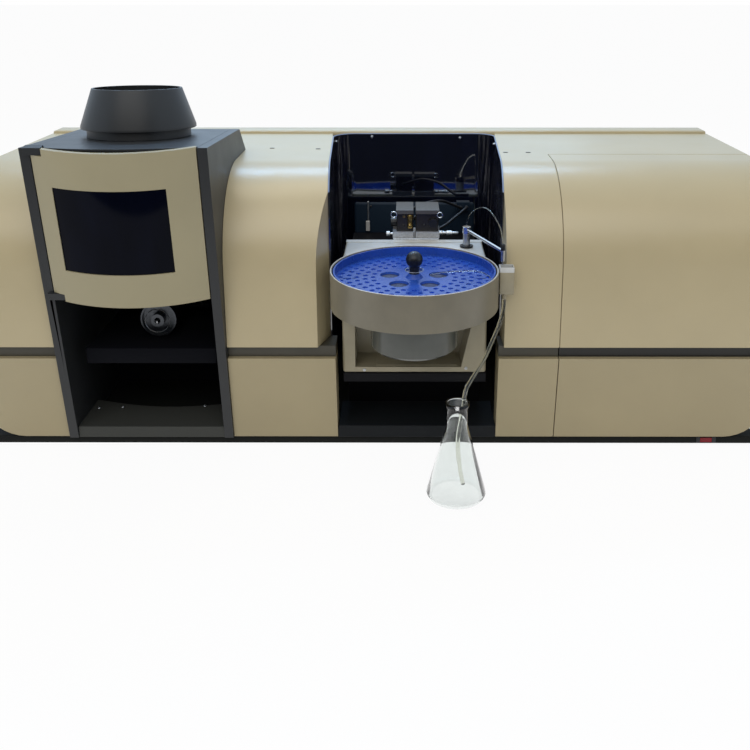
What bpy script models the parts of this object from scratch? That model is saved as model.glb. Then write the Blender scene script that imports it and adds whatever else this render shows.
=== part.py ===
"""Atomic absorption spectrometer with a flame bay, a graphite furnace bay and an autosampler.

The model is in metres with +Z up. +X runs along the front from left to right and the front
faces -Y. The instrument stands on z = 0. Every object hangs on the empty named model_root.
"""
import math

import bmesh
import bpy
from mathutils import Euler, Matrix, Vector

# Fits that every piece shares
seat_gap = 0.0003
seam_gap = 0.0012
overrun = 0.006

# Housing: overall size and side profile
body_width = 1.224
body_depth = 0.448
top_height = 0.440
nose_radius = 0.142
nose_steps = 14
cover_wall = 0.003
panel_lean = 0.022
low_corner_radius = 0.060
groove_bottom = 0.158
groove_height = 0.018
groove_depth = 0.008
foot_height = 0.003
foot_radius = 0.018
foot_inset = 0.045
base_height = 0.013
base_setback = 0.003
base_inset = 0.005

# Housing: the columns and bays from the left end, as shares of the whole width
left_column_share = 0.1070
hood_share = 0.2116
centre_column_share = 0.1279
furnace_bay_share = 0.2141
right_column_share = 0.0719

# Furnace bay: how the covers and the liner shape it
liner_front_y = 0.051
liner_wall = 0.002
liner_left_flare = 0.0185
liner_right_flare = 0.0165
liner_left_radius = 0.040
liner_right_radius = 0.034
liner_rear_lean = 0.028
return_left = 0.018
return_right = 0.0031
low_lip_left = 0.0085
low_lip_right = 0.0045

# Rear cover
rear_cover_depth = 0.045
rear_lip_rise = 0.005
rear_wall = 0.003
rear_bevel = 0.004
fan_opening_radius = 0.042
fan_height = 0.330
fan_from_left = 0.150
vent_length = 0.120
vent_height = 0.005
vent_pitch = 0.014
vent_count = 7
vent_top = 0.270
fan_frame_wall = 0.006
fan_frame_depth = 0.025
fan_strut = 0.004
fan_hub_radius = 0.018
fan_hub_depth = 0.014
fan_motor_radius = 0.016
fan_axial_gap = 0.001
fan_pin_radius = 0.002
fan_pin_reach = 0.009
fan_blade_count = 7
fan_blade_reach = 0.0385
fan_blade_width = 0.016
fan_blade_wall = 0.0016
fan_blade_pitch = 35.0
fan_root = 0.003
guard_wall = 0.002
guard_ring_width = 0.0026
guard_ring_pitch = 0.013
guard_ring_count = 3
inlet_from_right = 0.110
inlet_height = 0.060
inlet_size_x = 0.030
inlet_size_z = 0.024
inlet_depth = 0.020
inlet_rim = 0.003
inlet_pin_width = 0.002
inlet_pin_height = 0.005
inlet_pin_pitch = 0.007
inlet_pin_rise = 0.003
gas_panel_from_left = 0.312
gas_panel_height = 0.085
gas_panel_size_x = 0.130
gas_panel_size_z = 0.044
gas_panel_depth = 0.018
gas_stub_pitch = 0.038
gas_stub_radius = 0.0065
gas_stub_length = 0.011
gas_bore_radius = 0.003

# Lamp lid
lid_wall = 0.003
lid_rear_y = 0.186
lid_joint_gap = 0.004
lid_axis_drop = 0.0015
lid_pin_radius = 0.0016
end_wall = 0.003
end_reveal = 0.0005

# Flame hood
hood_plate = 0.014
hood_reach = 0.062
hood_front_rise = 0.0545
hood_foot_y = 0.017
hood_rear_y = 0.187
hood_rear_rise = 0.042
hood_end_y = 0.236
hood_sheet = 0.003
roof_setback = 0.0052
hood_back_wall = 0.004
chimney_offset = -0.0055
chimney_y = 0.090
neck_radius = 0.077
neck_height = 0.013
neck_bore_radius = 0.066
collar_base_radius = 0.0855
collar_rim_radius = 0.0665
collar_height = 0.0595
collar_wall = 0.003
collar_foot = 0.004

# Flame door, in the tilted frame of the hood's front
door_bow = 0.029
door_wall = 0.006
door_bottom = 0.263
door_top_rise = 0.001
door_side_gap = 0.0015
door_axis_from_plate = 0.006
door_axis_back = 0.001
door_steps = 20
bracket_width = 0.018
bracket_height = 0.011
bracket_depth = 0.009
hinge_pin_radius = 0.0015
hinge_hole_radius = 0.0019
hinge_pin_reach = 0.008
window_left = 0.027
window_width = 0.159
window_bottom = 0.0517
window_height = 0.127
window_wall = 0.003

# Inside the flame bay
table_front_y = 0.020
table_height = 0.1665
table_thickness = 0.025
table_left_gap = 0.023
table_right_gap = 0.007
sill_height = 0.0345
sill_front_y = 0.019
sill_rear_left_y = 0.116
sill_rear_mid_y = 0.090
sill_rear_right_y = 0.104
sill_steps = 10
beam_height = 0.335
burner_offset = 0.0085
burner_y = 0.165
burner_drop = 0.013
burner_length = 0.120
burner_width = 0.030
burner_height = 0.040
burner_slot_length = 0.100
burner_slot_width = 0.0012
burner_slot_depth = 0.014
chamber_rise = 0.029
chamber_front_y = 0.082
chamber_length = 0.125
chamber_radius = 0.0245
nebulizer_radius = 0.0285
nebulizer_length = 0.012
nebulizer_hub_radius = 0.0105
nebulizer_hub_length = 0.006
nebulizer_hole_radius = 0.005
neck_tube_radius = 0.011
lift_rod_radius = 0.006
lift_rod_spread = 0.070
carriage_width = 0.100
carriage_depth = 0.020
carriage_height = 0.046
carriage_drop = 0.020

# Shelves of the furnace bay
shelf_front_y = 0.020
shelf_top = 0.126
shelf_thickness = 0.015
shelf_left_gap = 0.0185
shelf_right_gap = 0.0215
cavity_sill_height = 0.036
cavity_sill_depth = 0.090
furnace_shelf_y = 0.146
furnace_shelf_top = 0.262
furnace_column_top = 0.284
furnace_column_width = 0.070
furnace_column_depth = 0.062
back_panel_gap = 0.051
back_panel_wall = 0.010
back_panel_top = 0.3185
back_panel_side = 0.020
gland_offset = 0.0885
gland_width = 0.024
gland_depth = 0.012
gland_drop = 0.012
gland_rise = 0.004

# Autosampler
tray_offset = -0.0028
tray_y = -0.016
tray_side_gap = 0.007
tray_top = 0.307
tray_height = 0.0545
tray_wall = 0.003
tray_floor = 0.0035
sampler_left_gap = 0.018
sampler_right_gap = 0.022
sampler_rear_y = 0.140
sampler_top = 0.304
sampler_bevel = 0.004
recess_left_cheek = 0.0195
recess_right_cheek = 0.0245
recess_right_slant = 0.014
recess_depth = 0.058
recess_floor = 0.0095
floor_plate_left = 0.052
floor_plate_right = 0.045
floor_plate_thickness = 0.0012
drum_radius = 0.065
drum_height = 0.065
drum_wall = 0.004

# Carousel
rack_clearance = 0.0015
rack_wall = 0.0025
rack_top = 0.294
rack_thickness = 0.010
rack_rim_drop = 0.001
rack_hub_radius = 0.016
vial_radius = 0.0042
vial_depth = 0.007
vial_ring_pitch = 0.0120
vial_inset = 0.0155
vial_rings = 5
vial_first_count = 40
vial_count_step = 4
vial_sides = 6
bottle_radius = 0.0145
bottle_circle_radius = 0.038
bottle_count = 5
bottle_sides = 16
knob_collar_radius = 0.0130
knob_collar_height = 0.006
knob_neck_radius = 0.0078
knob_waist_radius = 0.0068
knob_ball_radius = 0.0125
knob_ball_height = 0.027

# Sampling arm
stem_inset = 0.0275
stem_y = 0.109
guide_radius = 0.0105
guide_height = 0.003
stem_radius = 0.0057
stem_rise = 0.0225
stem_reach = 0.026
stem_end_room = 0.002
stem_tip_radius = 0.0035
stem_tip_height = 0.0035
arm_radius = 0.0026
arm_collar_radius = 0.0068
arm_collar_height = 0.0105
needle_out = 0.0058
needle_y = -0.0120
holder_radius = 0.0029
holder_height = 0.020
needle_radius = 0.0009
needle_reach = 0.0028
arm_lift_down = 0.011
capillary_radius = 0.0007
capillary_points = 56

# Wash station, drain and flask
cup_gap = 0.0011
cup_front_y = -0.024
cup_size_x = 0.0212
cup_size_y = 0.019
cup_top = 0.3110
cup_height = 0.0415
cup_wall = 0.0012
cup_floor = 0.003
bracket_drop = 0.008
bracket_rise = 0.014
bracket_thickness = 0.008
spout_from_cup = 0.0080
spout_length = 0.0095
spout_radius = 0.0032
drain_radius = 0.0030
drain_points = 24
flask_offset = 0.0598
flask_y = -0.1235
flask_height = 0.145
flask_base_radius = 0.0425
flask_neck_radius = 0.0153
flask_rim_radius = 0.0170
flask_rim_height = 0.004
flask_rim_slope = 0.002
flask_neck_height = 0.040
flask_glass = 0.0017
flask_shoulder = 0.0025
flask_foot_radius = 0.007
flask_foot_share = 0.3

# Furnace head
head_offset = 0.0015
head_y = 0.190
head_base_width = 0.077
head_base_depth = 0.072
head_base_height = 0.021
rail_height = 0.010
rail_step = 0.004
jaw_gap_left = 0.0045
jaw_gap_width = 0.0040
jaw_left_width = 0.0275
jaw_right_width = 0.0375
jaw_depth = 0.056
jaw_height = 0.0315
jaw_plate = 0.005
graphite_radius = 0.0040
graphite_length = 0.028
graphite_bore = 0.0025
side_knob_radius = 0.0075
side_knob_length = 0.0095
front_knob_radius = 0.0072
front_knob_length = 0.009
lead_radius = 0.0025
lead_points = 15
lead_spread = 0.010

# Lamp compartment
turret_from_lid = 0.0604
turret_y = 0.190
turret_plate_radius = 0.084
turret_plate = 0.006
turret_spacing = 0.110
turret_shaft_radius = 0.010
lamp_circle_radius = 0.060
lamp_count = 6
lamp_radius = 0.0185
lamp_length = 0.135
lamp_base_radius = 0.0175
lamp_base_length = 0.030
lamp_lead = 0.014
bearing_plate = 0.008
bearing_clearance = 0.0004
turret_end_gap = 0.0006

# Power switch
switch_from_right = 0.0845
switch_width = 0.031
switch_height = 0.0105
switch_depth = 0.009
switch_flange = 0.0012
rocker_width = 0.0185
rocker_height = 0.0075
rocker_depth = 0.0070
rocker_proud = 0.0016

# Sizes that follow from the ones above
half_width = body_width / 2
base_top = foot_height + base_height
groove_top = groove_bottom + groove_height
cover_rear_y = body_depth - rear_cover_depth
left_end_x = -half_width
left_column_width = body_width * left_column_share
hood_width = body_width * hood_share
centre_column_width = body_width * centre_column_share
furnace_bay_width = body_width * furnace_bay_share
right_column_width = body_width * right_column_share
hood_left_x = left_end_x + left_column_width
hood_right_x = hood_left_x + hood_width
bay_left_x = hood_right_x + centre_column_width
bay_right_x = bay_left_x + furnace_bay_width
lid_left_x = bay_right_x + right_column_width
bay_inner_left_x = hood_left_x + hood_plate
bay_inner_right_x = hood_right_x - hood_plate
hood_middle_x = (hood_left_x + hood_right_x) / 2
bay_middle_x = (bay_left_x + bay_right_x) / 2
hood_front_height = top_height + hood_front_rise
hood_rear_height = top_height + hood_rear_rise
door_height = hood_front_height + door_top_rise - door_bottom
hood_lean = math.atan2(hood_reach + hood_foot_y, hood_front_height - base_top)
roof_slope = math.atan2(hood_rear_height - hood_front_height, hood_rear_y + hood_reach)
burner_x = hood_middle_x + burner_offset
burner_top = beam_height - burner_drop
chamber_z = table_height + chamber_rise
back_panel_y = cover_rear_y - back_panel_gap
tray_x = bay_middle_x + tray_offset
tray_radius = furnace_bay_width / 2 - tray_side_gap
tray_edge_x = tray_x + tray_radius
sampler_left = bay_left_x + sampler_left_gap
sampler_right = bay_right_x - sampler_right_gap
vial_outer_radius = tray_radius - vial_inset
stem_x = sampler_right - stem_inset
needle_x = tray_edge_x + needle_out
cup_left = tray_edge_x + cup_gap
spout_x = cup_left + spout_from_cup
flask_x = tray_x + flask_offset
head_x = bay_middle_x + head_offset
turret_x = lid_left_x + turret_from_lid
root_y = (flask_base_radius - flask_y - body_depth) / 2


def clear_scene():
    """Remove what the opened file holds."""
    for item in list(bpy.data.objects):
        bpy.data.objects.remove(item)


def new_collection(name):
    """Add a collection to the scene and return it."""
    made = bpy.data.collections.new(name)
    bpy.context.scene.collection.children.link(made)
    return made


clear_scene()
parts = new_collection("atomic_absorption_spectrometer")
cutters = new_collection("cutters")
model_root = bpy.data.objects.new("model_root", None)
model_root.location = (0, root_y, 0)
parts.objects.link(model_root)


def paint(name, colour, roughness, metallic=0.0, alpha=1.0):
    """Make a plain shader for one kind of surface."""
    made = bpy.data.materials.new(name)
    made.use_nodes = True
    shader = made.node_tree.nodes["Principled BSDF"]
    shader.inputs["Base Color"].default_value = (*colour, 1)
    shader.inputs["Roughness"].default_value = roughness
    shader.inputs["Metallic"].default_value = metallic
    shader.inputs["Alpha"].default_value = alpha
    made.diffuse_color = (*colour, alpha)
    return made


cream = paint("cream_paint", (0.60, 0.52, 0.36), 0.42)
charcoal = paint("charcoal_paint", (0.045, 0.048, 0.048), 0.50)
base_grey = paint("base_grey", (0.030, 0.031, 0.028), 0.60)
bay_black = paint("bay_black", (0.008, 0.009, 0.012), 0.55)
liner_black = paint("liner_black", (0.006, 0.007, 0.012), 0.12)
panel_blue = paint("panel_blue", (0.025, 0.045, 0.065), 0.50)
window_dark = paint("window_dark", (0.006, 0.008, 0.018), 0.08)
ivory = paint("ivory_plastic", (0.62, 0.57, 0.45), 0.40)
rack_blue = paint("rack_blue", (0.020, 0.085, 0.420), 0.32)
drum_grey = paint("drum_grey", (0.085, 0.090, 0.085), 0.35)
knob_black = paint("knob_black", (0.012, 0.013, 0.015), 0.38)
steel = paint("brushed_steel", (0.55, 0.56, 0.57), 0.32, 1.0)
chrome = paint("chrome", (0.80, 0.82, 0.84), 0.10, 1.0)
dark_metal = paint("dark_metal", (0.090, 0.085, 0.080), 0.42, 0.8)
graphite = paint("graphite", (0.030, 0.030, 0.032), 0.50, 0.3)
clear_glass = paint("clear_glass", (0.85, 0.90, 0.88), 0.03, 0.0, 0.30)
clear_hose = paint("clear_hose", (0.75, 0.76, 0.70), 0.20, 0.0, 0.50)
switch_red = paint("switch_red", (0.55, 0.012, 0.010), 0.30)


def anchor(name, place, turn=(0, 0, 0), parent=None):
    """Add an empty that carries other objects."""
    made = bpy.data.objects.new(name, None)
    made.location = place
    made.rotation_euler = turn
    made.parent = parent or model_root
    parts.objects.link(made)
    return made


def finish(name, mesh, look, place, turn, parent, smooth):
    """Turn a mesh into a named part, or into a cutter when it has no look."""
    made = bpy.data.objects.new(name, mesh)
    made.location = place
    made.rotation_euler = turn
    made.parent = parent or model_root
    if look is None:
        cutters.objects.link(made)
        made.hide_render = True
        made.display_type = "WIRE"
    else:
        parts.objects.link(made)
        mesh.materials.append(look)
    if smooth:
        mesh.shade_smooth()
        mesh.set_sharp_from_angle(angle=math.radians(35))
    return made


def bevel(thing, width, segments=2):
    """Round the sharp edges of a part."""
    rounding = thing.modifiers.new("rounding", "BEVEL")
    rounding.width = width
    rounding.segments = segments
    rounding.limit_method = "ANGLE"
    rounding.angle_limit = math.radians(40)
    return thing


def combine(thing, other, operation):
    """Add an exact boolean with another object."""
    step = thing.modifiers.new(operation.lower(), "BOOLEAN")
    step.operation = operation
    step.solver = "EXACT"
    step.object = other
    return thing


def cut(thing, *others):
    """Take each of the other shapes away."""
    for other in others:
        combine(thing, other, "DIFFERENCE")
    return thing


def add(thing, *others):
    """Unite each of the other shapes with the part."""
    for other in others:
        combine(thing, other, "UNION")
    return thing


def keep(thing, *others):
    """Keep only what lies inside each of the other shapes."""
    for other in others:
        combine(thing, other, "INTERSECT")
    return thing


def block(name, low, high, look=None, round_by=0, segments=2, pivot=None, parent=None):
    """A box between two corners. Its origin is its centre, or the pivot."""
    low = Vector(low)
    high = Vector(high)
    middle = (low + high) / 2
    origin = Vector(pivot) if pivot else middle
    shape = bmesh.new()
    bmesh.ops.create_cube(shape, size=1)
    bmesh.ops.scale(shape, vec=high - low, verts=shape.verts)
    bmesh.ops.translate(shape, vec=middle - origin, verts=shape.verts)
    mesh = bpy.data.meshes.new(name)
    shape.to_mesh(mesh)
    shape.free()
    made = finish(name, mesh, look, origin, (0, 0, 0), parent, False)
    if round_by:
        bevel(made, round_by, segments)
    return made


def rod_mesh(shape, start, length, radius, axis, sides):
    """Add a cylinder from a start point along +X, +Y or +Z to a bmesh."""
    turn = {"x": Matrix.Rotation(math.radians(90), 4, "Y"),
            "y": Matrix.Rotation(math.radians(-90), 4, "X"),
            "z": Matrix.Identity(4)}[axis]
    along = turn @ Vector((0, 0, length / 2))
    bmesh.ops.create_cone(
        shape, cap_ends=True, segments=sides, radius1=radius, radius2=radius, depth=length,
        matrix=Matrix.Translation(Vector(start) + along) @ turn)


def rod(name, start, length, radius, axis="z", look=None, sides=24, pivot=None, parent=None):
    """A cylinder that starts at a point and runs along one axis."""
    origin = Vector(pivot) if pivot else Vector(start)
    shape = bmesh.new()
    rod_mesh(shape, Vector(start) - origin, length, radius, axis, sides)
    mesh = bpy.data.meshes.new(name)
    shape.to_mesh(mesh)
    shape.free()
    return finish(name, mesh, look, origin, (0, 0, 0), parent, True)


def rod_group(name, starts, length, radius, axis="z", look=None, sides=8, pivot=(0, 0, 0),
              parent=None):
    """Equal cylinders at several places as one object of separate solids."""
    origin = Vector(pivot)
    shape = bmesh.new()
    for start in starts:
        rod_mesh(shape, Vector(start) - origin, length, radius, axis, sides)
    mesh = bpy.data.meshes.new(name)
    shape.to_mesh(mesh)
    shape.free()
    return finish(name, mesh, look, origin, (0, 0, 0), parent, True)


def curve_to_mesh(curve_object, look, smooth=False):
    """Replace a curve object by the closed mesh that it evaluates to."""
    bpy.context.view_layer.update()
    graph = bpy.context.evaluated_depsgraph_get()
    mesh = bpy.data.meshes.new_from_object(curve_object.evaluated_get(graph))
    shape = bmesh.new()
    shape.from_mesh(mesh)
    bmesh.ops.remove_doubles(shape, verts=shape.verts, dist=weld_distance)
    bmesh.ops.recalc_face_normals(shape, faces=shape.faces)
    shape.to_mesh(mesh)
    shape.free()
    mesh.materials.clear()
    name = curve_object.name
    place = curve_object.location.copy()
    turn = curve_object.rotation_euler.copy()
    parent = curve_object.parent
    data = curve_object.data
    bpy.data.objects.remove(curve_object)
    bpy.data.curves.remove(data)
    return finish(name, mesh, look, place, turn, parent, smooth)


weld_distance = 0.000002


def slab(name, outline, low, high, plane, look=None, pivot=None, smooth=False):
    """A flat outline in one plane, extruded between two levels of the third axis.

    The plane is "yz" (extruded along X), "xz" (along Y) or "xy" (along Z).
    """
    curve = bpy.data.curves.new(name, "CURVE")
    curve.dimensions = "2D"
    curve.fill_mode = "BOTH"
    curve.extrude = (high - low) / 2
    turns = {"yz": Euler((math.radians(90), 0, math.radians(90))),
             "xz": Euler((math.radians(90), 0, 0)), "xy": Euler((0, 0, 0))}
    middle = (low + high) / 2
    centres = {"yz": Vector((middle, 0, 0)), "xz": Vector((0, middle, 0)),
               "xy": Vector((0, 0, middle))}
    spline = curve.splines.new("POLY")
    spline.points.add(len(outline) - 1)
    for point, (a, b) in zip(spline.points, outline):
        point.co = (a, b, 0, 1)
    spline.use_cyclic_u = True
    holder = bpy.data.objects.new(name, curve)
    holder.location = centres[plane]
    holder.rotation_euler = turns[plane]
    cutters.objects.link(holder)
    made = curve_to_mesh(holder, look, smooth)
    made.parent = model_root
    turn = turns[plane].to_matrix().to_4x4()
    origin = Vector(pivot) if pivot else Vector((0, 0, 0))
    made.data.transform(Matrix.Translation(centres[plane] - origin) @ turn)
    made.location = origin
    made.rotation_euler = (0, 0, 0)
    return made


def arc(centre_a, centre_b, radius, start, end, steps):
    """Points along an arc, from one angle to another in degrees."""
    found = []
    for step in range(steps + 1):
        angle = math.radians(start + (end - start) * step / steps)
        found.append((centre_a + radius * math.cos(angle), centre_b + radius * math.sin(angle)))
    return found


def fillet(points, radii, steps=8):
    """Round the corners of a closed outline, each by its own radius."""
    found = []
    count = len(points)
    for index, (corner, radius) in enumerate(zip(points, radii)):
        here = Vector(corner)
        before = (Vector(points[index - 1]) - here).normalized()
        after = (Vector(points[(index + 1) % count]) - here).normalized()
        if not radius:
            found.append(tuple(here))
            continue
        half = before.angle(after) / 2
        reach = radius / math.tan(half)
        centre = here + (before + after).normalized() * radius / math.sin(half)
        first = here + before * reach - centre
        last = here + after * reach - centre
        sweep = first.angle_signed(last)
        for step in range(steps + 1):
            ray = Matrix.Rotation(-sweep * step / steps, 2) @ first
            found.append(tuple(centre + ray))
    return found


def offset_path(path, distance):
    """The path moved sideways, to the right of its direction, with mitred corners."""
    normals = []
    for start, end in zip(path, path[1:]):
        run = (Vector(end) - Vector(start)).normalized()
        normals.append(Vector((run.y, -run.x)))
    moved = []
    for index, point in enumerate(path):
        before = normals[max(index - 1, 0)]
        after = normals[min(index, len(normals) - 1)]
        mitre = (before + after).normalized()
        moved.append(tuple(Vector(point) + mitre * distance / mitre.dot(after)))
    return moved


def sheet(path, thickness):
    """Closed outline of a sheet that follows an open path, thick to the path's right."""
    return list(path) + offset_path(path, thickness)[::-1]


def loft(name, low_outline, high_outline, low, high, look):
    """A body between two outlines with equally many points, each at its own level."""
    count = len(low_outline)
    places = [(a, b, low) for a, b in low_outline] + [(a, b, high) for a, b in high_outline]
    faces = [tuple(range(count)), tuple(range(count, count * 2))]
    for index in range(count):
        after = (index + 1) % count
        faces.append((index, after, after + count, index + count))
    mesh = bpy.data.meshes.new(name)
    mesh.from_pydata(places, [], faces)
    shape = bmesh.new()
    shape.from_mesh(mesh)
    bmesh.ops.recalc_face_normals(shape, faces=shape.faces)
    shape.to_mesh(mesh)
    shape.free()
    return finish(name, mesh, look, (0, 0, 0), (0, 0, 0), None, True)


def turned(name, profile, look=None, place=(0, 0, 0), steps=40, turn=(0, 0, 0), parent=None):
    """A turned body: a closed loop of (radius, height) points with a Screw modifier.

    The loop runs down the outer side. An edge that lies on the axis is left open.
    """
    mesh = bpy.data.meshes.new(name)
    ring = [(index, (index + 1) % len(profile)) for index in range(len(profile))]
    edges = [(a, b) for a, b in ring if profile[a][0] or profile[b][0]]
    mesh.from_pydata([(radius, 0, height) for radius, height in profile], edges, [])
    made = finish(name, mesh, look, place, turn, parent, False)
    lathe = made.modifiers.new("lathe", "SCREW")
    lathe.steps = steps
    lathe.render_steps = steps
    lathe.use_smooth_shade = True
    lathe.use_merge_vertices = True
    lathe.merge_threshold = weld_distance
    return made


def tube(name, points, radius, look, resolution=2):
    """A round wire or hose along a list of points."""
    curve = bpy.data.curves.new(name, "CURVE")
    curve.dimensions = "3D"
    curve.bevel_depth = radius
    curve.bevel_resolution = resolution
    curve.use_fill_caps = True
    spline = curve.splines.new("POLY")
    spline.points.add(len(points) - 1)
    for point, place in zip(spline.points, points):
        point.co = (*place, 1)
    curve.materials.append(look)
    made = bpy.data.objects.new(name, curve)
    made.parent = model_root
    parts.objects.link(made)
    return made


def bar_between(name, start, end, radius):
    """A straight round bar between two points."""
    run = end - start
    turn = run.to_track_quat("Z", "Y").to_matrix().to_4x4()
    shape = bmesh.new()
    bmesh.ops.create_cone(shape, cap_ends=True, segments=bar_sides, radius1=radius,
                          radius2=radius, depth=run.length,
                          matrix=Matrix.Translation(run / 2) @ turn)
    mesh = bpy.data.meshes.new(name)
    shape.to_mesh(mesh)
    shape.free()
    return finish(name, mesh, None, start, (0, 0, 0), None, True)


def smooth_path(route, count):
    """Even points on a smooth curve through the route's own points."""
    places = [Vector(point) for point in route]
    ends = [places[0] * 2 - places[1]] + places + [places[-1] * 2 - places[-2]]
    fine = []
    for index in range(1, len(ends) - 2):
        a, b, c, d = ends[index - 1:index + 3]
        for step in range(curve_steps):
            t = step / curve_steps
            fine.append(((b * 2) + (c - a) * t + (a * 2 - b * 5 + c * 4 - d) * t * t
                         + (b * 3 - a - c * 3 + d) * t * t * t) / 2)
    fine.append(places[-1])
    lengths = [0]
    for start, end in zip(fine, fine[1:]):
        lengths.append(lengths[-1] + (end - start).length)
    found = []
    at = 0
    for step in range(count):
        goal = lengths[-1] * step / (count - 1)
        while at < len(fine) - 2 and lengths[at + 1] < goal:
            at += 1
        span = lengths[at + 1] - lengths[at]
        share = min(max((goal - lengths[at]) / span, 0), 1)
        found.append(fine[at].lerp(fine[at + 1], share))
    return found


curve_steps = 16
bar_sides = 12
far = body_width


def cover_profile(inset=0, low=0, rear=0):
    """Side outline of an upper cover: front face, big rounded nose, flat top and rear edge."""
    nose = arc(nose_radius, top_height - nose_radius, nose_radius - inset, 180, 90, nose_steps)
    return [(inset, low)] + nose + [(rear, top_height - inset), (rear, low)]


def panel_profile(inset=0, low=0, rear=0):
    """Side outline of a lower panel, leaning in towards its foot."""
    rise = groove_bottom - inset
    slope = panel_lean / (groove_bottom - base_top)
    recess = groove_depth + inset
    return [((groove_bottom - low) * slope + inset, low), ((groove_bottom - rise) * slope + inset, rise),
            (recess, rise), (recess, groove_top - inset), (rear, groove_top - inset), (rear, low)]


def bay_plan(lip_left, lip_right, gap):
    """Plan outline of the space that the furnace bay takes out of the covers."""
    left_front = bay_left_x - liner_wall - gap
    right_front = bay_right_x + liner_wall + gap
    corners = [
        (bay_left_x + lip_left, -overrun - hood_reach), (bay_left_x + lip_left, 0),
        (left_front, liner_front_y - gap), (left_front - liner_left_flare, cover_rear_y + gap),
        (left_front - liner_left_flare, cover_rear_y + rear_cover_depth),
        (right_front + liner_right_flare, cover_rear_y + rear_cover_depth),
        (right_front + liner_right_flare, cover_rear_y + gap),
        (right_front, liner_front_y - gap), (bay_right_x + lip_right, 0),
        (bay_right_x + lip_right, -overrun - hood_reach)]
    return corners


def low_bay_plan(gap):
    """Plan outline of the bay at the lower panels, whose front edges stand in its mouth."""
    left_front = bay_left_x - liner_wall - gap
    right_front = bay_right_x + liner_wall + gap
    left_lip = bay_left_x + low_lip_left
    right_lip = bay_right_x - low_lip_right
    front = -overrun - hood_reach
    step_y = liner_front_y - gap
    back = cover_rear_y + rear_cover_depth
    return [(left_lip, front), (left_lip, step_y), (left_front, step_y),
            (left_front - liner_left_flare, cover_rear_y), (left_front - liner_left_flare, back),
            (right_front + liner_right_flare, back), (right_front + liner_right_flare, cover_rear_y),
            (right_front, step_y), (right_lip, step_y), (right_lip, front)]


def end_rounding(name, side, inset):
    """A shape that rounds the outer lower corner of the panel at one end."""
    reach = side * (half_width - inset)
    low = base_top + seat_gap + inset
    points = [(reach, top_height), (reach, low), (0, low), (0, top_height)]
    return slab(name, fillet(points, (0, low_corner_radius - inset, 0, 0)), -far, far, "xz")


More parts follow.
